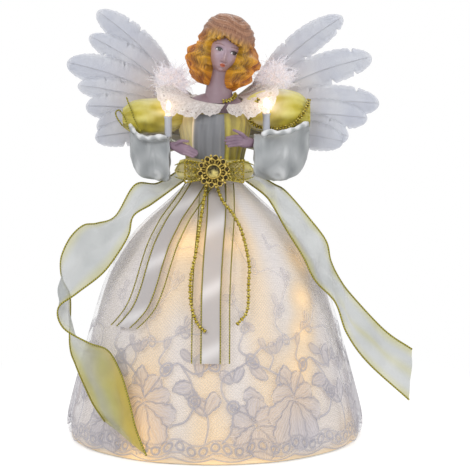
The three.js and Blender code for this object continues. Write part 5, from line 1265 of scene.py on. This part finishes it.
# The sleeve's elbow end: shares of the first oval, and how far out each lies.
SLEEVE_ELBOW = ((0.22, -0.9), (0.5, -0.6), (0.8, -0.2))
# The puff's ends: which oval, its share, and how far out each lies.
PUFF_ENDS = ((0, 0.0, 0.6), (0, 0.5, 0.3), (-1, 0.5, -0.3), (-1, 0.0, -0.6))


def crumple(u, v, seed):
    """Soft crumpled folds: five sine waves at odd angles, each bent by the one before, from -1 to
    1."""
    total, wave = np.zeros(np.broadcast(u, v).shape), 0.0
    for k, (a, b) in enumerate(((1.0, 2.1), (-1.7, 2.6), (3.1, 1.2), (-2.3, -3.7), (4.9, 2.2))):
        wave = np.sin(2 * np.pi * (a * u + b * v) + 1.9 * wave + seed * (k + 1))
        total = total + wave / (1 + 0.7 * k)
    return total / 2.9


def arm_rings(rows, steps, sides):
    """Centres and half axes of upright ovals along the arm, through the rows, with the angles
    round them and the shares along them."""
    rows = np.array(rows)
    share = down(steps)
    centre = spline(on_figure(rows[:, :3]), share[:, 0])
    half = spline(rows[:, 3:] * [FIGURE[2], FIGURE[1]], share[:, 0])
    return centre, half, along(sides, 0, 2 * np.pi), share


def arm_skin(centre, half, turn, reach):
    """The ovals as a grid of points, each point's distance from its centre multiplied by reach."""
    return surface(centre[:, :1], centre[:, 1:2] + half[:, 1:2] * reach * np.sin(turn),
                   centre[:, 2:] + half[:, :1] * reach * np.cos(turn))


def make_sleeve(side, rows, material):
    """A flared satin sleeve: upright ovals along the arm with crumpled folds and a swirl, drawn in
    at the elbow to a small opening, turned in at the mouth and lined by the same rings drawn in,
    with a rolled hem over its top edge."""
    seed = 1.3 if side == "left" else 2.6
    centre, half, turn, t = arm_rings(rows, 110, 121)
    close = smooth(turn, 5.5, 6.283)
    fold = (crumple(turn / (2 * np.pi), t * 0.9, seed) * (1 - close)
            + crumple(0 * turn, t * 0.9, seed) * close)
    swirl = np.sin(2.2 * np.pi * np.hypot(t - 0.66, np.abs(turn - 3.9) / 3) * 3.2)
    depth = (1.1 * fold + 0.7 * swirl * bell(turn - 3.9, 1.1)) * smooth(t, 0, 0.1)
    gather = 0.5 * np.cos(17 * turn) * smooth(t, 0.3, 0)
    grid = arm_skin(centre, half, turn, 1 + (depth + gather - 0.4) / SLEEVE_RADIUS)
    lip = 0.35 * np.sin(5 * turn) + 0.2 * np.sin(11 * turn + 1)
    grid[..., 0] -= SIGN[side] * lip * smooth(t, 0.85, 1)
    inner = []
    for back, inset in SLEEVE_LINING:
        middle = centre[-1 - back]
        inner.append(middle + (grid[-1 - back] - middle) * (1 - inset / SLEEVE_RADIUS))
    inner[0][:, 0] -= SIGN[side] * 0.4
    elbow = [centre[0] + (grid[0] - centre[0]) * share + np.array([SIGN[side] * way, 0, 0])
             for share, way in SLEEVE_ELBOW]
    whole = np.concatenate([elbow, grid, inner])
    # Painted shade and highlight in the crest mark: the lining darkens row by row into the sleeve, the
    # puckered elbow is darker, the fold crests lighter; glow is painted lamplight.
    shade = np.array([0.9, 0.6, 0.35, 0.15, 0.05])[:, None] + 0 * turn
    pucker = np.array([0.1, 0.3, 0.5])[:, None] + 0.25 * np.cos(17 * turn)
    crest = np.clip(np.concatenate([pucker, 0.42 + 0.3 * depth, shade]), 0, 1)
    sleeve = make(f"{side}_satin_sleeve", [patch(
        whole, uv=(along(121, 0, 90), down(len(whole), 0, 45)), crest=crest,
        glow=0.4 * shoulder_glow(whole, 12))],
        material, weld=0.01, replaces=(f"{side}_sleeve",))
    s = np.linspace(0, 1, 160)
    girth = 1.9 + 0.3 * np.sin(s * 17) + 0.2 * np.sin(s * 37 + 1)
    roll = closed_tube(even_path(HEM_ROLLS[side], 160), np.stack([girth, girth * 0.75], -1), 24,
                       across=np.array([0, -0.4, 1.0]))
    # Painted highlight round one side of the rolled hem, and painted lamplight near the shoulder lamps.
    roll["marks"] = {"crest": (0.6 + 0.4 * np.cos(angles(24)) + 0.25 * np.sin(s * 31)[:, None]).ravel(),
                     "glow": shoulder_glow(roll["points"], 9)}
    roll["uv"] = roll["uv"] * np.array([12, 1])
    make(f"{side}_sleeve_rolled_hem", [roll], material, closed=0.001)


def make_puff(side, rows, organza, cord):
    """A gathered organza puff: ovals along the upper arm with broad soft folds that drift round it,
    fine gathers at both ends, where it is drawn in to a point. Painted shade makes it ochre
    underneath and in the folds, painted light lemon on top and on the crests, with a painted
    highlight band along its middle."""
    centre, half, turn, t = arm_rings(rows, 90, 241)
    drift = 1.4 * np.sin(4 * t + turn) + 2.2 * t
    pleat = np.cos(5 * turn + drift) + 0.5 * np.cos(12 * turn - drift * 2)
    gathers = np.cos(34 * turn) * (smooth(t, 0.3, 0) + smooth(t, 0.7, 1))
    soft = crumple(turn / (2 * np.pi), t, 0.7 if side == "left" else 1.7) * np.sin(turn / 2) ** 0.5
    depth = 0.8 * pleat + 1.0 * soft + 0.45 * gathers
    grid = arm_skin(centre, half, turn, 1 + (depth - 0.5) / PUFF_RADIUS)
    shut = [centre[end] + (grid[end] - centre[end]) * share + np.array([way, 0, 0])
            for end, share, way in PUFF_ENDS]
    grid = np.concatenate([shut[:2], grid, shut[2:]])
    t, depth = (np.concatenate([k[:1], k[:1], k, k[-1:], k[-1:]]) for k in (t, depth))
    # Painted light and shade: crest rises on the fold crests and on top and falls in the folds and
    # underneath; band is a painted highlight, brighter on the right puff, and glow is painted lamplight.
    crest = np.clip(0.56 + 0.22 * depth + 0.4 * np.cos(turn), 0, 1)
    band = bell(t - 0.42 + 0.12 * np.sin(2 * turn), 0.13) * smooth(depth, -1.2, 1.2)
    puff = make(f"{side}_organza_puff", [patch(
        grid, uv=(turn * 14, 50 * t), crest=crest, pale=band * (0.35 if side == "left" else 0.9),
        glow=shoulder_glow(grid, 12, 0.8))],
        organza, closed=0.01, replaces=(f"{side}_puff",))
    if PUFF_WIRES[side]:
        make(f"{side}_puff_wires", [closed_tube(even_path(wire, 60), PUFF_WIRE, 7)
                                    for wire in PUFF_WIRES[side]], cord)


# The collars' outer edges, as shares of the figure.
RUFFLES = {
    "left": [[0.09, -0.5, 0.83], [-0.1, -0.52, 0.79], [-0.3, -0.54, 0.78], [-0.5, -0.56, 0.8],
             [-0.63, -0.46, 0.92], [-0.69, -0.2, 1.1], [-0.6, 0.08, 1.13], [-0.4, 0.24, 1.08],
             [-0.22, 0.42, 1.0], [-0.05, 0.47, 0.95]],
    "right": [[0.14, -0.5, 0.83], [0.3, -0.52, 0.78], [0.45, -0.54, 0.78], [0.6, -0.54, 0.83],
              [0.72, -0.44, 0.98], [0.74, -0.2, 1.14], [0.62, 0.08, 1.15], [0.4, 0.24, 1.08],
              [0.22, 0.42, 1.0], [0.05, 0.47, 0.95]]}
# The ruffle's width, the step of its eyelets, and how far their two rows are from the inner edge.
COLLAR_WIDTH, COLLAR_STEP, LOW_ROW, HIGH_ROW = 17, 3.4, 13.4, 10.2


def make_collar(side, places, material):
    """A lace ruffle: rows run from a line on the shoulders out to the edge curve, with waves that
    grow outwards; its eyelets and corded scallops follow its own length and width."""
    first = 21 if side == "left" else 27
    u, v = along(300), down(50)
    azimuth = np.radians(first + (SIGN[side] * 174 - first) * u)
    inner = on_chest(azimuth, np.radians(20 + 24 * smooth(u, 0, 0.6)), 1.0)
    edge = spline(on_figure(places), u[0])[None]
    v_out = v * (1 + 0.045 * np.abs(np.sin(u * 40 * np.pi / 2)))
    wave = v * (1.9 * np.cos(u * 12 * np.pi + 2 * np.sin(6 * u)) + 1.1 * np.cos(u * 27 * np.pi + 1)
                + 0.4 * np.cos(u * 61 * np.pi))
    grid = inner + (edge - inner) * v_out[..., None]
    grid[..., 2] = inner[..., 2] + (edge[..., 2] - inner[..., 2]) * v_out ** 1.6 + wave * 0.7 + 0.8
    grid[..., 1] -= wave * 0.7
    length = path_length(edge[0])
    run, width = u * length, v * COLLAR_WIDTH
    beat, other = (((run + shift) % COLLAR_STEP) - COLLAR_STEP / 2 for shift in (0, COLLAR_STEP / 2))
    low, high = np.hypot(beat, width - LOW_ROW), np.hypot(other * 1.3, width - HIGH_ROW)
    hole = np.exp(-((low / 0.62) ** 4)) + 0.7 * np.exp(-((high / 0.5) ** 4))
    rim = bell(low - 1.1, 0.4) + bell(width - 16.6, 0.5)
    leafy = 0.5 + 0.5 * np.sin(run * 0.8 + np.sin(width)) * np.cos(width * 0.9)
    # fold adds a little painted light on the ruffle's raised waves to the cord mark; glow is painted
    # lamplight.
    fold = 0.5 + 0.16 * wave
    collar = make(f"{side}_lace_ruffle", [patch(
        grid, uv=(run, width), cord=np.clip(0.7 * rim + 0.4 * leafy + 0.3 * fold, 0, 1),
        fill=np.clip(1 - hole, 0, 1) * (0.8 + 0.2 * leafy), glow=shoulder_glow(grid, 13, 1.0))],
        material, replaces=(f"{side}_lace_collar",))


# Bodice, sash and braids.

SEQUIN_STEP, SEQUIN_RADIUS = 2.0, 0.9


def beaded_braid(name, points, material, replaces):
    """Sequin braid: two rows of small domes that lean to each side of a corded core."""
    path = even_path(points, 200)
    spots = even_path(points, int(path_length(path) / SEQUIN_STEP))
    way = unit(np.gradient(spots, axis=0))
    out = unit(np.cross(way, np.array([0.2, -1.0, 0.3])))
    front = np.cross(out, way)
    front *= np.where(front[:, 1:2] > 0, -1, 1)
    patches = [closed_tube(path, 0.8, 8, bead=0.1)]
    for side in (-1, 1):
        patches += domes(spots + side * out * 0.8 + front * 0.4, front + 0.5 * side * out,
                         SEQUIN_RADIUS, 0.7, bead=0.8)
    make(name, patches, material, closed=0.001, replaces=replaces)


# The braid round the right puff, as shares of the figure.
PUFF_BRAID = [
    [0.52, -0.25, 0.99], [0.44, -0.26, 0.86], [0.42, -0.26, 0.74], [0.5, -0.26, 0.67],
    [0.62, -0.26, 0.645], [0.78, -0.27, 0.65], [0.93, -0.28, 0.69], [1.02, -0.28, 0.78],
    [1.09, -0.24, 0.88], [1.12, -0.16, 0.98]]
# Ovals up the chest: height, half width, half depth.
CHEST = np.array([
    [183.5, 20.6, 20.6], [198, 20.6, 20.6], [211, 23.6, 19.3], [224, 26, 18], [231.2, 25, 16]])
# The satin panel: its foot and top, its middle and half width as shares of the figure's half.
PANEL_FOOT, PANEL_TOP, PANEL_MIDDLE, PANEL_HALF = 199, 230.6, -0.07, 0.185
# Radii of the wires in sash and loops.
SASH_WIRE, LOOP_WIRE = 0.4, 0.38


def make_bodice(organza):
    """The bodice: ovals up the chest with loose upright gathers, painted paler toward the left lamp,
    with painted highlights on the gathers' crests and a painted glow of lamplight near the shoulder
    lamps and over its upper front, most on the left.
    """
    body = spline(CHEST, np.linspace(0, 1, 70))
    height, turn = body[:, :1], along(361, -np.pi, np.pi)
    pleat = (0.4 * np.cos(26 * turn + np.sin(5 * turn) + 0.04 * (height - 200))
             + 0.3 * np.sin(11 * turn + 0.05 * height))
    wide, deep = body[:, 1:2] + pleat, body[:, 2:] + pleat
    grid = surface(wide * np.sin(turn), -deep * np.cos(turn), height)
    left = smooth(-turn, 0.2, 0.6)
    rise = smooth(height, 188, 222)
    glow = shoulder_glow(grid, 17, 0.7) + (0.05 + 0.14 * left) * rise * smooth(np.abs(turn), 1.9, 1.2)
    # Painted light: crest follows the gathers' crests, pale and glow paint lamplight, most on the left.
    bodice = make("gathered_bodice", [patch(
        grid, uv=(turn * 22, height), crest=np.clip(0.2 + 0.5 * pleat, 0, 1),
        pale=rise * (0.15 + 0.4 * left), glow=np.clip(glow, 0, 1))],
        organza, weld=0.01, replaces=("bodice",))


def make_panel(satin):
    """The panel: satin over the bodice's middle, a few soft folds whose left edge stands forward,
    with a painted highlight and a painted glow of lamplight along that edge."""
    u, height = along(121), down(60, PANEL_FOOT, PANEL_TOP)
    wide, deep = (np.interp(height, CHEST[:, 0], CHEST[:, k]) for k in (1, 2))
    x = (PANEL_MIDDLE + (2 * u - 1) * PANEL_HALF) * FIGURE[0]
    x = x * (1 + 0.05 * np.sin((height - PANEL_FOOT) / 9))
    bend = 0.35 * np.sin(height / 7)
    pleat = 0.5 * np.sin(u * 3 * np.pi + bend) ** 2 + 0.2 * np.sin(u * 7.3 * np.pi - 2 * bend) ** 2
    edge = bell(u, 0.05)
    lift = 1.3 + pleat + edge
    y = -(deep + lift) * np.sqrt(np.clip(1 - (x / (wide + lift)) ** 2, 0, 1))
    # Painted highlight: crest rises on the pleats and most on the left edge, and glow paints lamplight
    # along that edge.
    crest = np.clip(0.3 + 0.3 * pleat + 0.7 * edge + 0.1 * smooth(u, 0.6, 0.9), 0, 1)
    panel = make("satin_front_panel", [patch(
        surface(x, y, height), uv=(u * 25, height), crest=crest,
        glow=np.clip(0.55 * bell(u, 0.06) * smooth(height, 200, 222), 0, 1))],
        satin, replaces=("front_panel",))


def make_sash(organza, cord):
    """The organza sash: a ring whose wall bulges and is wrinkled along the wrap, with three wired
    edges that wander across it."""
    turn, v = along(241, -np.pi, np.pi), down(60)
    drift = 0.25 * np.sin(3 * turn) + 0.1 * np.sin(7 * turn)
    wrinkle = (0.5 * np.cos((v * 4 + drift * 4) * 2 * np.pi)
               + 0.25 * np.cos((v * 9 - drift * 6) * 2 * np.pi))
    mound = np.sin(np.pi * v)
    reach = 21.2 + 2.6 * mound ** 0.6 + wrinkle * mound ** 0.4
    grid = surface(reach * np.sin(turn), -reach * np.cos(turn), BAND_BASE - 0.5 + (BAND_HEIGHT + 1) * v)
    # Painted light: crest lighter on the wrinkles' crests and darker between, pale in soft patches, and
    # glow a faint even painted glow.
    sash = make("waist_sash", [patch(
        grid, uv=(turn * 24, v * 14), crest=np.clip(0.45 + 0.6 * wrinkle, 0, 1),
        pale=0.1 + 0.1 * np.sin(2 * turn + 5 * v), glow=0.04)],
        organza, weld=0.01, replaces=("waist_band",))
    wires = []
    turn = turn[0, 20:-20]
    for share, wobble in ((0.12, 1.0), (0.45, 2.2), (0.8, 3.1)):
        z = BAND_BASE + BAND_HEIGHT * (share + 0.08 * np.sin(2 * turn * wobble + wobble))
        out = 24.4 - 1.2 * abs(share - 0.5)
        wires.append(tube(surface(out * np.sin(turn), -out * np.cos(turn), z), SASH_WIRE, 6))
    make("waist_sash_wires", wires, cord)


# The middle of the organza loops, in front of the axis.
LOOP_DEPTH = BAND_FRONT + 0.3 + 4.6


def make_loop(side, rise, organza, cord):
    """One organza loop of the waist bow: an oval bag with three long folds that fan out from the
    knot, drawn in at its far end, with wired edges."""
    sign, t, around = SIGN[side], down(70), along(121, 0, 2 * np.pi)
    tall = np.interp(t, [0, 0.3, 0.6, 0.85, 1], [3.4, 6.4, 7.6, 6.8, 0.4])
    deep = np.interp(t, [0, 0.3, 0.6, 0.85, 1], [3.0, 4.4, 4.6, 3.6, 0.3])
    fold = np.cos(3 * around + 2.2 * t + sign) + 0.4 * np.cos(8 * around - 3 * t)
    shape = 1 + 0.09 * fold * (1 - 0.5 * t)
    grid = surface(sign * (2 + t * 26), 2.5 * t ** 2 - LOOP_DEPTH + deep * shape * np.sin(around),
                   BOW_HEIGHT + tall * shape * np.cos(around) + 1.2 * np.sin(3 * t) * rise)
    # Painted light: crest lighter on the folds' crests, pale in soft patches, and glow a faint even painted
    # glow.
    loop = make(f"{side}_organza_loop", [patch(
        grid, uv=(around * 6, t * 27), crest=np.clip(0.28 + 0.35 * fold, 0, 1),
        pale=0.25 + 0.2 * np.sin(5 * t + around), glow=0.05)],
        organza, closed=0.01, replaces=(f"{side}_bow_loop",))
    s = np.linspace(0, 1, 50)
    edges = [surface(sign * (3 + s * 25 * far), 3.6 * s ** 2 - 4.4 - LOOP_DEPTH,
                     BOW_HEIGHT + start_height + bow * np.sin(2.6 * s))
             for far, start_height, bow in ((1, 1, 5.6), (1, -1.5, -4.6), (0.9, 0, 2.0), (0.95, 0.5, -1.6))]
    make(f"{side}_loop_wires", [closed_tube(edge, LOOP_WIRE, 6) for edge in edges], cord)


# Bow and brooch.

# The bow's reach to each side, and the radii of its cords, its rim and its sequins.
BOW_REACH, BOW_CORD, BOW_RIM, BOW_SEQUIN = 20.5, 0.24, 0.42, 0.78


def make_lurex_bow(material):
    """The gold mesh bow: two wings pinched at the knot, each a net of cords that cross on the bias
    between an upper and a lower edge, its outline and some crossings set with sequins."""
    patches, spots = [], []

    def place(u, v, sign):
        """A point of one wing: u from the knot out, v from its lower edge to its upper edge."""
        half = 3 + 5 * u ** 0.7
        ripple = 0.9 * u * np.sin(v * 5 * np.pi)
        return surface(sign * u * BOW_REACH, ripple - BOW_BACK - 0.4, BOW_HEIGHT + (2 * v - 1) * half)

    t = np.linspace(0, 1, 60)
    for sign in (-1, 1):
        for first in np.arange(-0.75, 0.95, 0.14):
            for v in (t, 1 - t):
                u = first + 0.85 * t
                on = (u > 0.12) & (u < 1)
                if on.sum() > 6:
                    patches.append(closed_tube(place(u[on], v[on], sign), BOW_CORD, 5, bead=0.55))
        rim = np.concatenate([place(t * 0.85 + 0.15, 1.0, sign), place(1.0, 1 - t, sign)[1:],
                              place(1 - t * 0.85, 0.0, sign)[1:]])
        patches.append(closed_tube(rim, BOW_RIM, 6, bead=0.4))
        spots.append(even_path(rim, 30))
        spots.append(place(RNG.uniform(0.3, 0.95, 26), RNG.uniform(0.08, 0.92, 26), sign))
    spots = np.concatenate(spots)
    lean = [0.1, -1.0, 0.1] + 0.35 * RNG.normal(size=(len(spots), 3))
    patches += domes(spots, lean, BOW_SEQUIN, 0.5, bead=1.0)
    make("lurex_mesh_bow", patches, material, closed=0.001, replaces=("lurex_bow",))


def cut_stone(at, radius, height, facets, reflection_tones):
    """A cut stone facing front: girdle, crown ring and flat table, one tone per facet."""
    profile = np.array([[0, -0.25], [0.9, -0.2], [1, 0.1], [0.86, 0.55], [0.5, 1.0], [0.0, 1.0]])
    skew = np.array([0, 0, 0, 0.5, 0.5, 0])[:, None] * 2 * np.pi / facets
    facet = np.broadcast_to(reflection_tones[None], (6, facets)).copy()
    facet[4:] = np.roll(facet[4:], 1, axis=1) * 0.9
    return turned(profile * [radius, height], facets, at, skew=skew, facet=facet)


# Profiles of the brooch's cup, back and claw settings: radius and height, then how worn it is.
CUP = [[0, 0.6, 0], [5.6, 0.6, 0.1], [5.8, 1.6, 0.5], [5.2, 2.6, 0.9], [4.7, 2.9, 1.0],
       [4.3, 2.5, 0.6], [0, 2.4, 0.2]]
CUP_BACK = [[0, -2.4, 0], [7.4, -2.4, 0.3], [8.2, -1.4, 0.4], [8.4, 0.2, 0.2], [7.6, 0.6, 0.1],
            [0, 0.7, 0.0]]
SETTING = [[0, 0, 0], [1.9, 0, 0.2], [2.15, 1.0, 0.4], [2.0, 2.1, 1.0], [1.55, 2.2, 1.0],
           [1.45, 1.6, 0.5], [0, 1.6, 0.1]]
SETTINGS, SETTING_REACH, SETTING_TURN = 10, 9.4, 0.16
# The hoop's radius and half width, and the stones' radius, height and facets.
HOOP_RADIUS, HOOP_HALF = 8.9, 0.95
SMALL_STONE, CENTRE_STONE = (1.45, 1.1, 9), (4.2, 2.2, 12)


def make_brooch():
    """A turned hoop and cup, ten claw settings with leaf-shaped rays between, and cut stones: each
    stone a ring of facets whose tone jumps from one to the next."""
    centre = np.array([-0.4, -(BOW_BACK + 0.8 + 0.9 + 0.3), BOW_HEIGHT])
    s = np.linspace(0, 2 * np.pi, 17)
    hoop = np.column_stack([HOOP_RADIUS + HOOP_HALF * np.cos(s), 0.8 + 0.8 * np.sin(s),
                            0.5 + 0.5 * np.sin(s)])
    patches = [turned(np.array(profile)[:, :2], steps, centre, crest=np.array(profile)[:, 2])
               for profile, steps in ((hoop, 90), (CUP, 60), (CUP_BACK, 60))]
    stones = []

    def ray(way, first, last, forward):
        """A straight path out from the middle, forward of the hoop's plane."""
        return centre + np.linspace(first, last, 14)[:, None] * way + [0, -forward, 0]

    for k in range(SETTINGS):
        turn = 2 * np.pi * k / SETTINGS + SETTING_TURN
        way, next_way = (np.array([np.cos(a), 0, np.sin(a)]) for a in (turn, turn + 0.314))
        at = centre + way * SETTING_REACH
        patches.append(turned(np.array(SETTING)[:, :2], 16, at, crest=np.array(SETTING)[:, 2]))
        claws = [at + way * reach + [0, -2.0, 0] for reach in (1.9, -1.9)]
        patches += domes(claws, [[0, -1, 0]] * 2, 0.55, 0.7, crest=1.0)
        patches += domes([centre + 11.0 * next_way + [0, -1.0, 0]], [[0, -1, 0]], 1.0, 0.9, crest=0.9)
        leaf = np.broadcast_to([0.5, 0.8], (14, 2))
        patches.append(closed_tube(ray(way, 5.0, 8.6, 1.2), leaf, 8, crest=0.8))
        patches.append(closed_tube(ray(next_way, 4.8, 10.6, 0.9), 0.45, 8, crest=0.6))
        # Painted glints: every fourth facet of each small stone is bright, the rest dark.
        reflection_tones = np.where((np.arange(SMALL_STONE[2]) + k) % 4 == 0, 0.8, 0.0)
        stones.append(cut_stone(at + [0, -1.7, 0], *SMALL_STONE, reflection_tones))
    make("antique_gold_brooch", patches, antique_casting(), closed=0.001,
         replaces=("brooch",))
    smoke = foil_backed_stone("acrylic_stone_smoke", "#080504", "#7a5a26")
    make("brooch_small_stones", stones, smoke, weld=0.0001, flat=True)
    citrine = foil_backed_stone("acrylic_stone_citrine", "#140a03", "#f3e08a")
    # Painted reflections on the centre stone: upper facets dark, lower facets bright.
    reflection_tones = np.array([0.0, 0.1, 0.0, 0.0, 0.15, 0.0, 0.3, 0.8, 1.0, 0.75, 0.9, 0.2])
    make("brooch_centre_stone", [cut_stone(centre + [0, -2.5, 0], *CENTRE_STONE, reflection_tones)],
         citrine, weld=0.0001, flat=True, replaces=("brooch_stone",))


# Wings.

# Feathers, from the top down: how far the tip is from the middle of the roots, across and up, in
# tenths of a metre, the vane's width over its length, and the root's place, 0 at the top.
FEATHERS = {
    "left": [[-0.65, 0.79, 0.23, 0], [-0.71, 0.61, 0.22, 0.12], [-0.88, 0.42, 0.25, 0.25],
             [-0.8, 0.25, 0.22, 0.4], [-0.74, 0.1, 0.29, 0.6], [-0.66, -0.05, 0.36, 0.8],
             [-0.67, -0.13, 0.3, 1]],
    "right": [[0.41, 0.51, 0.24, 0], [0.72, 0.75, 0.22, 0.1], [0.94, 0.46, 0.24, 0.22],
              [1.0, 0.12, 0.24, 0.4], [0.91, 0.01, 0.25, 0.6], [0.77, -0.12, 0.3, 0.8],
              [0.73, -0.16, 0.3, 1]]}
# Where a wing's roots are, from the axis and up, and how long the line of roots is.
WING_ROOT, WING_HEIGHT, ROOT_LINE = 21, 227, 24
# How far the first feather lies behind the axis, and how much nearer each next one is.
WING_DEPTH, FEATHER_STEP = 20.2, 1.1
# The middles of the down tufts.
DOWN = {"left": (-31.2, 15.2, 254), "right": (43.2, 15.2, 256.4)}


def make_feather(side, number, tip_across, tip_up, width, root_share, vane, body):
    """One feather: a middle line from root to tip with a slight bend, barbs out to each side whose
    reach swells to three fifths of the length and closes in a rounded tip, broken by a few splits,
    cupped across, with a raised quill."""
    sign = SIGN[side]
    root = np.array([sign * WING_ROOT, 0, WING_HEIGHT + ROOT_LINE * (0.5 - root_share)])
    tip = np.array([sign * WING_ROOT + tip_across * 100, 0, WING_HEIGHT + tip_up * 100])
    way = tip - root
    length = np.linalg.norm(way)
    across = np.array([-way[2], 0, way[0]]) / length
    v, u = down(130), along(31, -1, 1)
    close = np.sqrt(np.clip(1 - ((v - 0.6) / 0.4).clip(0) ** 2.6, 0, 1))
    half = np.maximum(0.8, width * length / 2 * smooth(v, -0.25, 0.5) * close)
    cut = 1.0
    for at, edge_side in zip(RNG.uniform(0.3, 0.9, 3), RNG.choice([-1, 1], 3)):
        cut = cut - 0.3 * bell(v - at, 0.009) * (np.sign(u) == edge_side) * np.abs(u) ** 3
    fray = 1 + 0.018 * np.sin(v * 90 + 3 * number) + 0.012 * np.sin(v * 171)
    sweep = 0.07 * length * np.abs(u) ** 1.3 * np.sin(np.pi * v) ** 0.5 * (1 - v)
    bend = sign * 0.05 * length * np.sin(np.pi * v)
    ahead, aside = v * length + sweep, bend + u * half * cut * fray
    spot = root + ahead[..., None] * way / length + aside[..., None] * across
    reach = np.clip(np.abs(spot[..., 0]) / 56 - 1.06, 0, None)
    cup = -0.5 * (1 - u ** 2) + 0.35 * np.abs(u) * np.sin(v * 40 + number) * smooth(v, 0.2, 0.6)
    spot[..., 1] = WING_DEPTH - FEATHER_STEP * (number - 1) + 9 * reach ** 1.5 + cup * 0.7
    opened = 0.72 + 0.28 * smooth(1 - np.abs(u), 0.0, 0.3) * smooth(1 - v, 0, 0.05)
    # The root mark paints pinkish lamplight, strongest near a point beside the shoulder lamp.
    away = np.linalg.norm(spot - np.array([sign * 38, 15, 240]), axis=-1)
    blade = patch(spot, uv=(u * half, v * length - np.abs(u) * half * 0.7), vane=opened,
                  root=bell(away, 30), quill=0)
    quill = closed_tube(spot[:, 15] + np.array([0, -0.35, 0]), 0.6 * (1 - 0.8 * v[:, 0]), 8,
                        vane=1.0, quill=0.7, root=0.2)
    make(f"{side}_wing_feather_{number}", [blade, quill], vane, body=body,
         replaces=(f"{side}_feather_{number}",))


def make_down(side, centre, body, material):
    """A tuft of down: hundreds of thin curved ribbons that spring from the middle and bend over,
    each three points wide and tapering to nothing."""
    count, steps = 620, 7
    spread = RNG.uniform(0, 2 * np.pi, count)
    length = RNG.uniform(8, 19, count)[:, None]
    lean = RNG.uniform(0.2, 1.0, count)[:, None]
    s = along(steps)
    bend = spread[:, None] + RNG.normal(0, 0.5, (count, 1)) * s
    reach = length * s * (0.35 + 0.65 * lean)
    start_at = RNG.normal(0, 3.6, (count, 3)) * [1.0, 0.25, 1.0] + centre
    x, z = start_at[:, :1] + reach * np.cos(bend), start_at[:, 2:] + reach * np.sin(bend)
    y = start_at[:, 1:2] - 2.6 * np.sin(np.pi * s * 0.8) * (1.3 - lean) - 0.5 * lean
    path = surface(x, y, z)
    way = unit(np.gradient(path, axis=1))
    aside = unit(np.cross(way, RNG.normal(0, 0.35, (count, 1, 3)) + [0, 1.0, 0]))
    wide = aside * ((1 - s) ** 0.6 + 0.06)[..., None]
    strips = np.stack([path - wide, path + [0, -0.12, 0], path + wide], 2)
    s = s.T
    patches = [patch(strip, vane=0.55 - 0.35 * s, root=smooth(s, 0.8, 0.0)) for strip in strips]
    make(f"{side}_wing_down", patches, material, body=body, replaces=(f"{side}_down",))


# Shoulder lamps, as profiles of radius and height under the bulb's tip, the bulb's with how hot
# it glows.
BULB = np.array([
    [0, -12, 0.3], [2.1, -12, 0.3], [2.2, -10, 0.6], [2.25, -7, 1], [2.2, -4, 1], [1.9, -2.2, 0.9],
    [1.3, -1, 0.6], [0.6, -0.3, 0.4], [0, 0, 0.4]])
CASE = np.array([
    [0, -26], [2.3, -26], [2.5, -25.5], [2.5, -13], [2.9, -12.6], [2.9, -11.4], [2.4, -11],
    [2.3, -11.6], [0, -11.6]])
# Where the bulbs' tips are, and how hot each glows.
SHOULDER_LAMPS = {"left": ((-32.8, -16, 240.5), 0.45), "right": ((36.7, -16, 242.6), 1.0)}


def make_shoulder_lamp(side, tip, heat, glass, holder):
    """An upright mini lamp: a bulb turned from a pointed profile, in a ribbed holder."""
    make(f"{side}_lit_bulb", [turned(BULB[:, :2], 24, tip, upright=True, hot=heat * BULB[:, 2])], glass,
         closed=0.001, replaces=(f"{side}_shoulder_lamp",))
    make(f"{side}_lamp_holder", [turned(CASE, 24, tip, upright=True, rib=0.08)], holder,
         closed=0.001)


def recolour(material, *nodes):
    """Give CAD nodes that keep their own shape a finished material."""
    for node in nodes:
        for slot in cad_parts[node].material_slots:
            slot.material = material


make_bust()
make_hair()
hand_material = flesh_hands()
sleeve_satin = slipper_satin("polyester_slipper_satin", "#b3b6b8", "#8a8e91", "#f4f5f7")
panel_satin = slipper_satin("polyester_panel_satin", "#8c8d91", "#6c6d71", "#dccfb9")
organza_material = yellow_organza()
collar_material = eyelet_lace()
for side_name in ("left", "right"):
    make_hand(side_name, **HANDS[side_name], material=hand_material)
    make_sleeve(side_name, SLEEVES[side_name], sleeve_satin)
    make_puff(side_name, PUFFS[side_name], organza_material, cord_material)
    make_collar(side_name, RUFFLES[side_name], collar_material)
make_bodice(organza_material)
make_panel(panel_satin)
make_sash(organza_material, cord_material)
for side_name, rise in (("left", 1.0), ("right", 0.4)):
    make_loop(side_name, rise, organza_material, cord_material)
neck_share = np.linspace(0, 1, 15)
neckline = on_chest(np.radians(16 + 66 * neck_share), np.radians(30 + 24 * smooth(neck_share, 0, 0.9)), 1.8)
beaded_braid("neckline_sequin_braid", neckline, bead_material, ("neckline_braid",))
beaded_braid("right_puff_sequin_braid", on_figure(PUFF_BRAID), bead_material, ("right_puff_braid",))
make_lurex_bow(bead_material)
make_brooch()
vane_material, down_material = goose_feather(), marabou_down()
for side_name, feathers in FEATHERS.items():
    for index, feather in enumerate(feathers):
        make_feather(side_name, index + 1, *feather, vane_material, f"{side_name}_wing")
for side_name, middle in DOWN.items():
    make_down(side_name, middle, f"{side_name}_wing", down_material)
lamp_material = lamp_glass()
holder_material = moulded_plastic("moulded_pvc_lamp_holder", "#e8e9ee", "#c3c6d2", 0.4, 0.4)
for side_name, (tip, heat) in SHOULDER_LAMPS.items():
    make_shoulder_lamp(side_name, tip, heat, lamp_material, holder_material)
recolour(moulded_plastic("moulded_polypropylene_form", "#f1ead8", "#ddd3bd", 0.45, 0.6), "bell_form")
recolour(moulded_plastic("extruded_pvc_lead", "#dde1d8", "#c5cabf", 0.4, 0.3), "wire_harness")
recolour(holder_material, *(f"skirt_lamp_{k}" for k in range(1, 9)))
recolour(drawn_steel(), "arm_wire")
recolour(pressed_felt(), "back_patch", "left_wing_backing", "right_wing_backing")
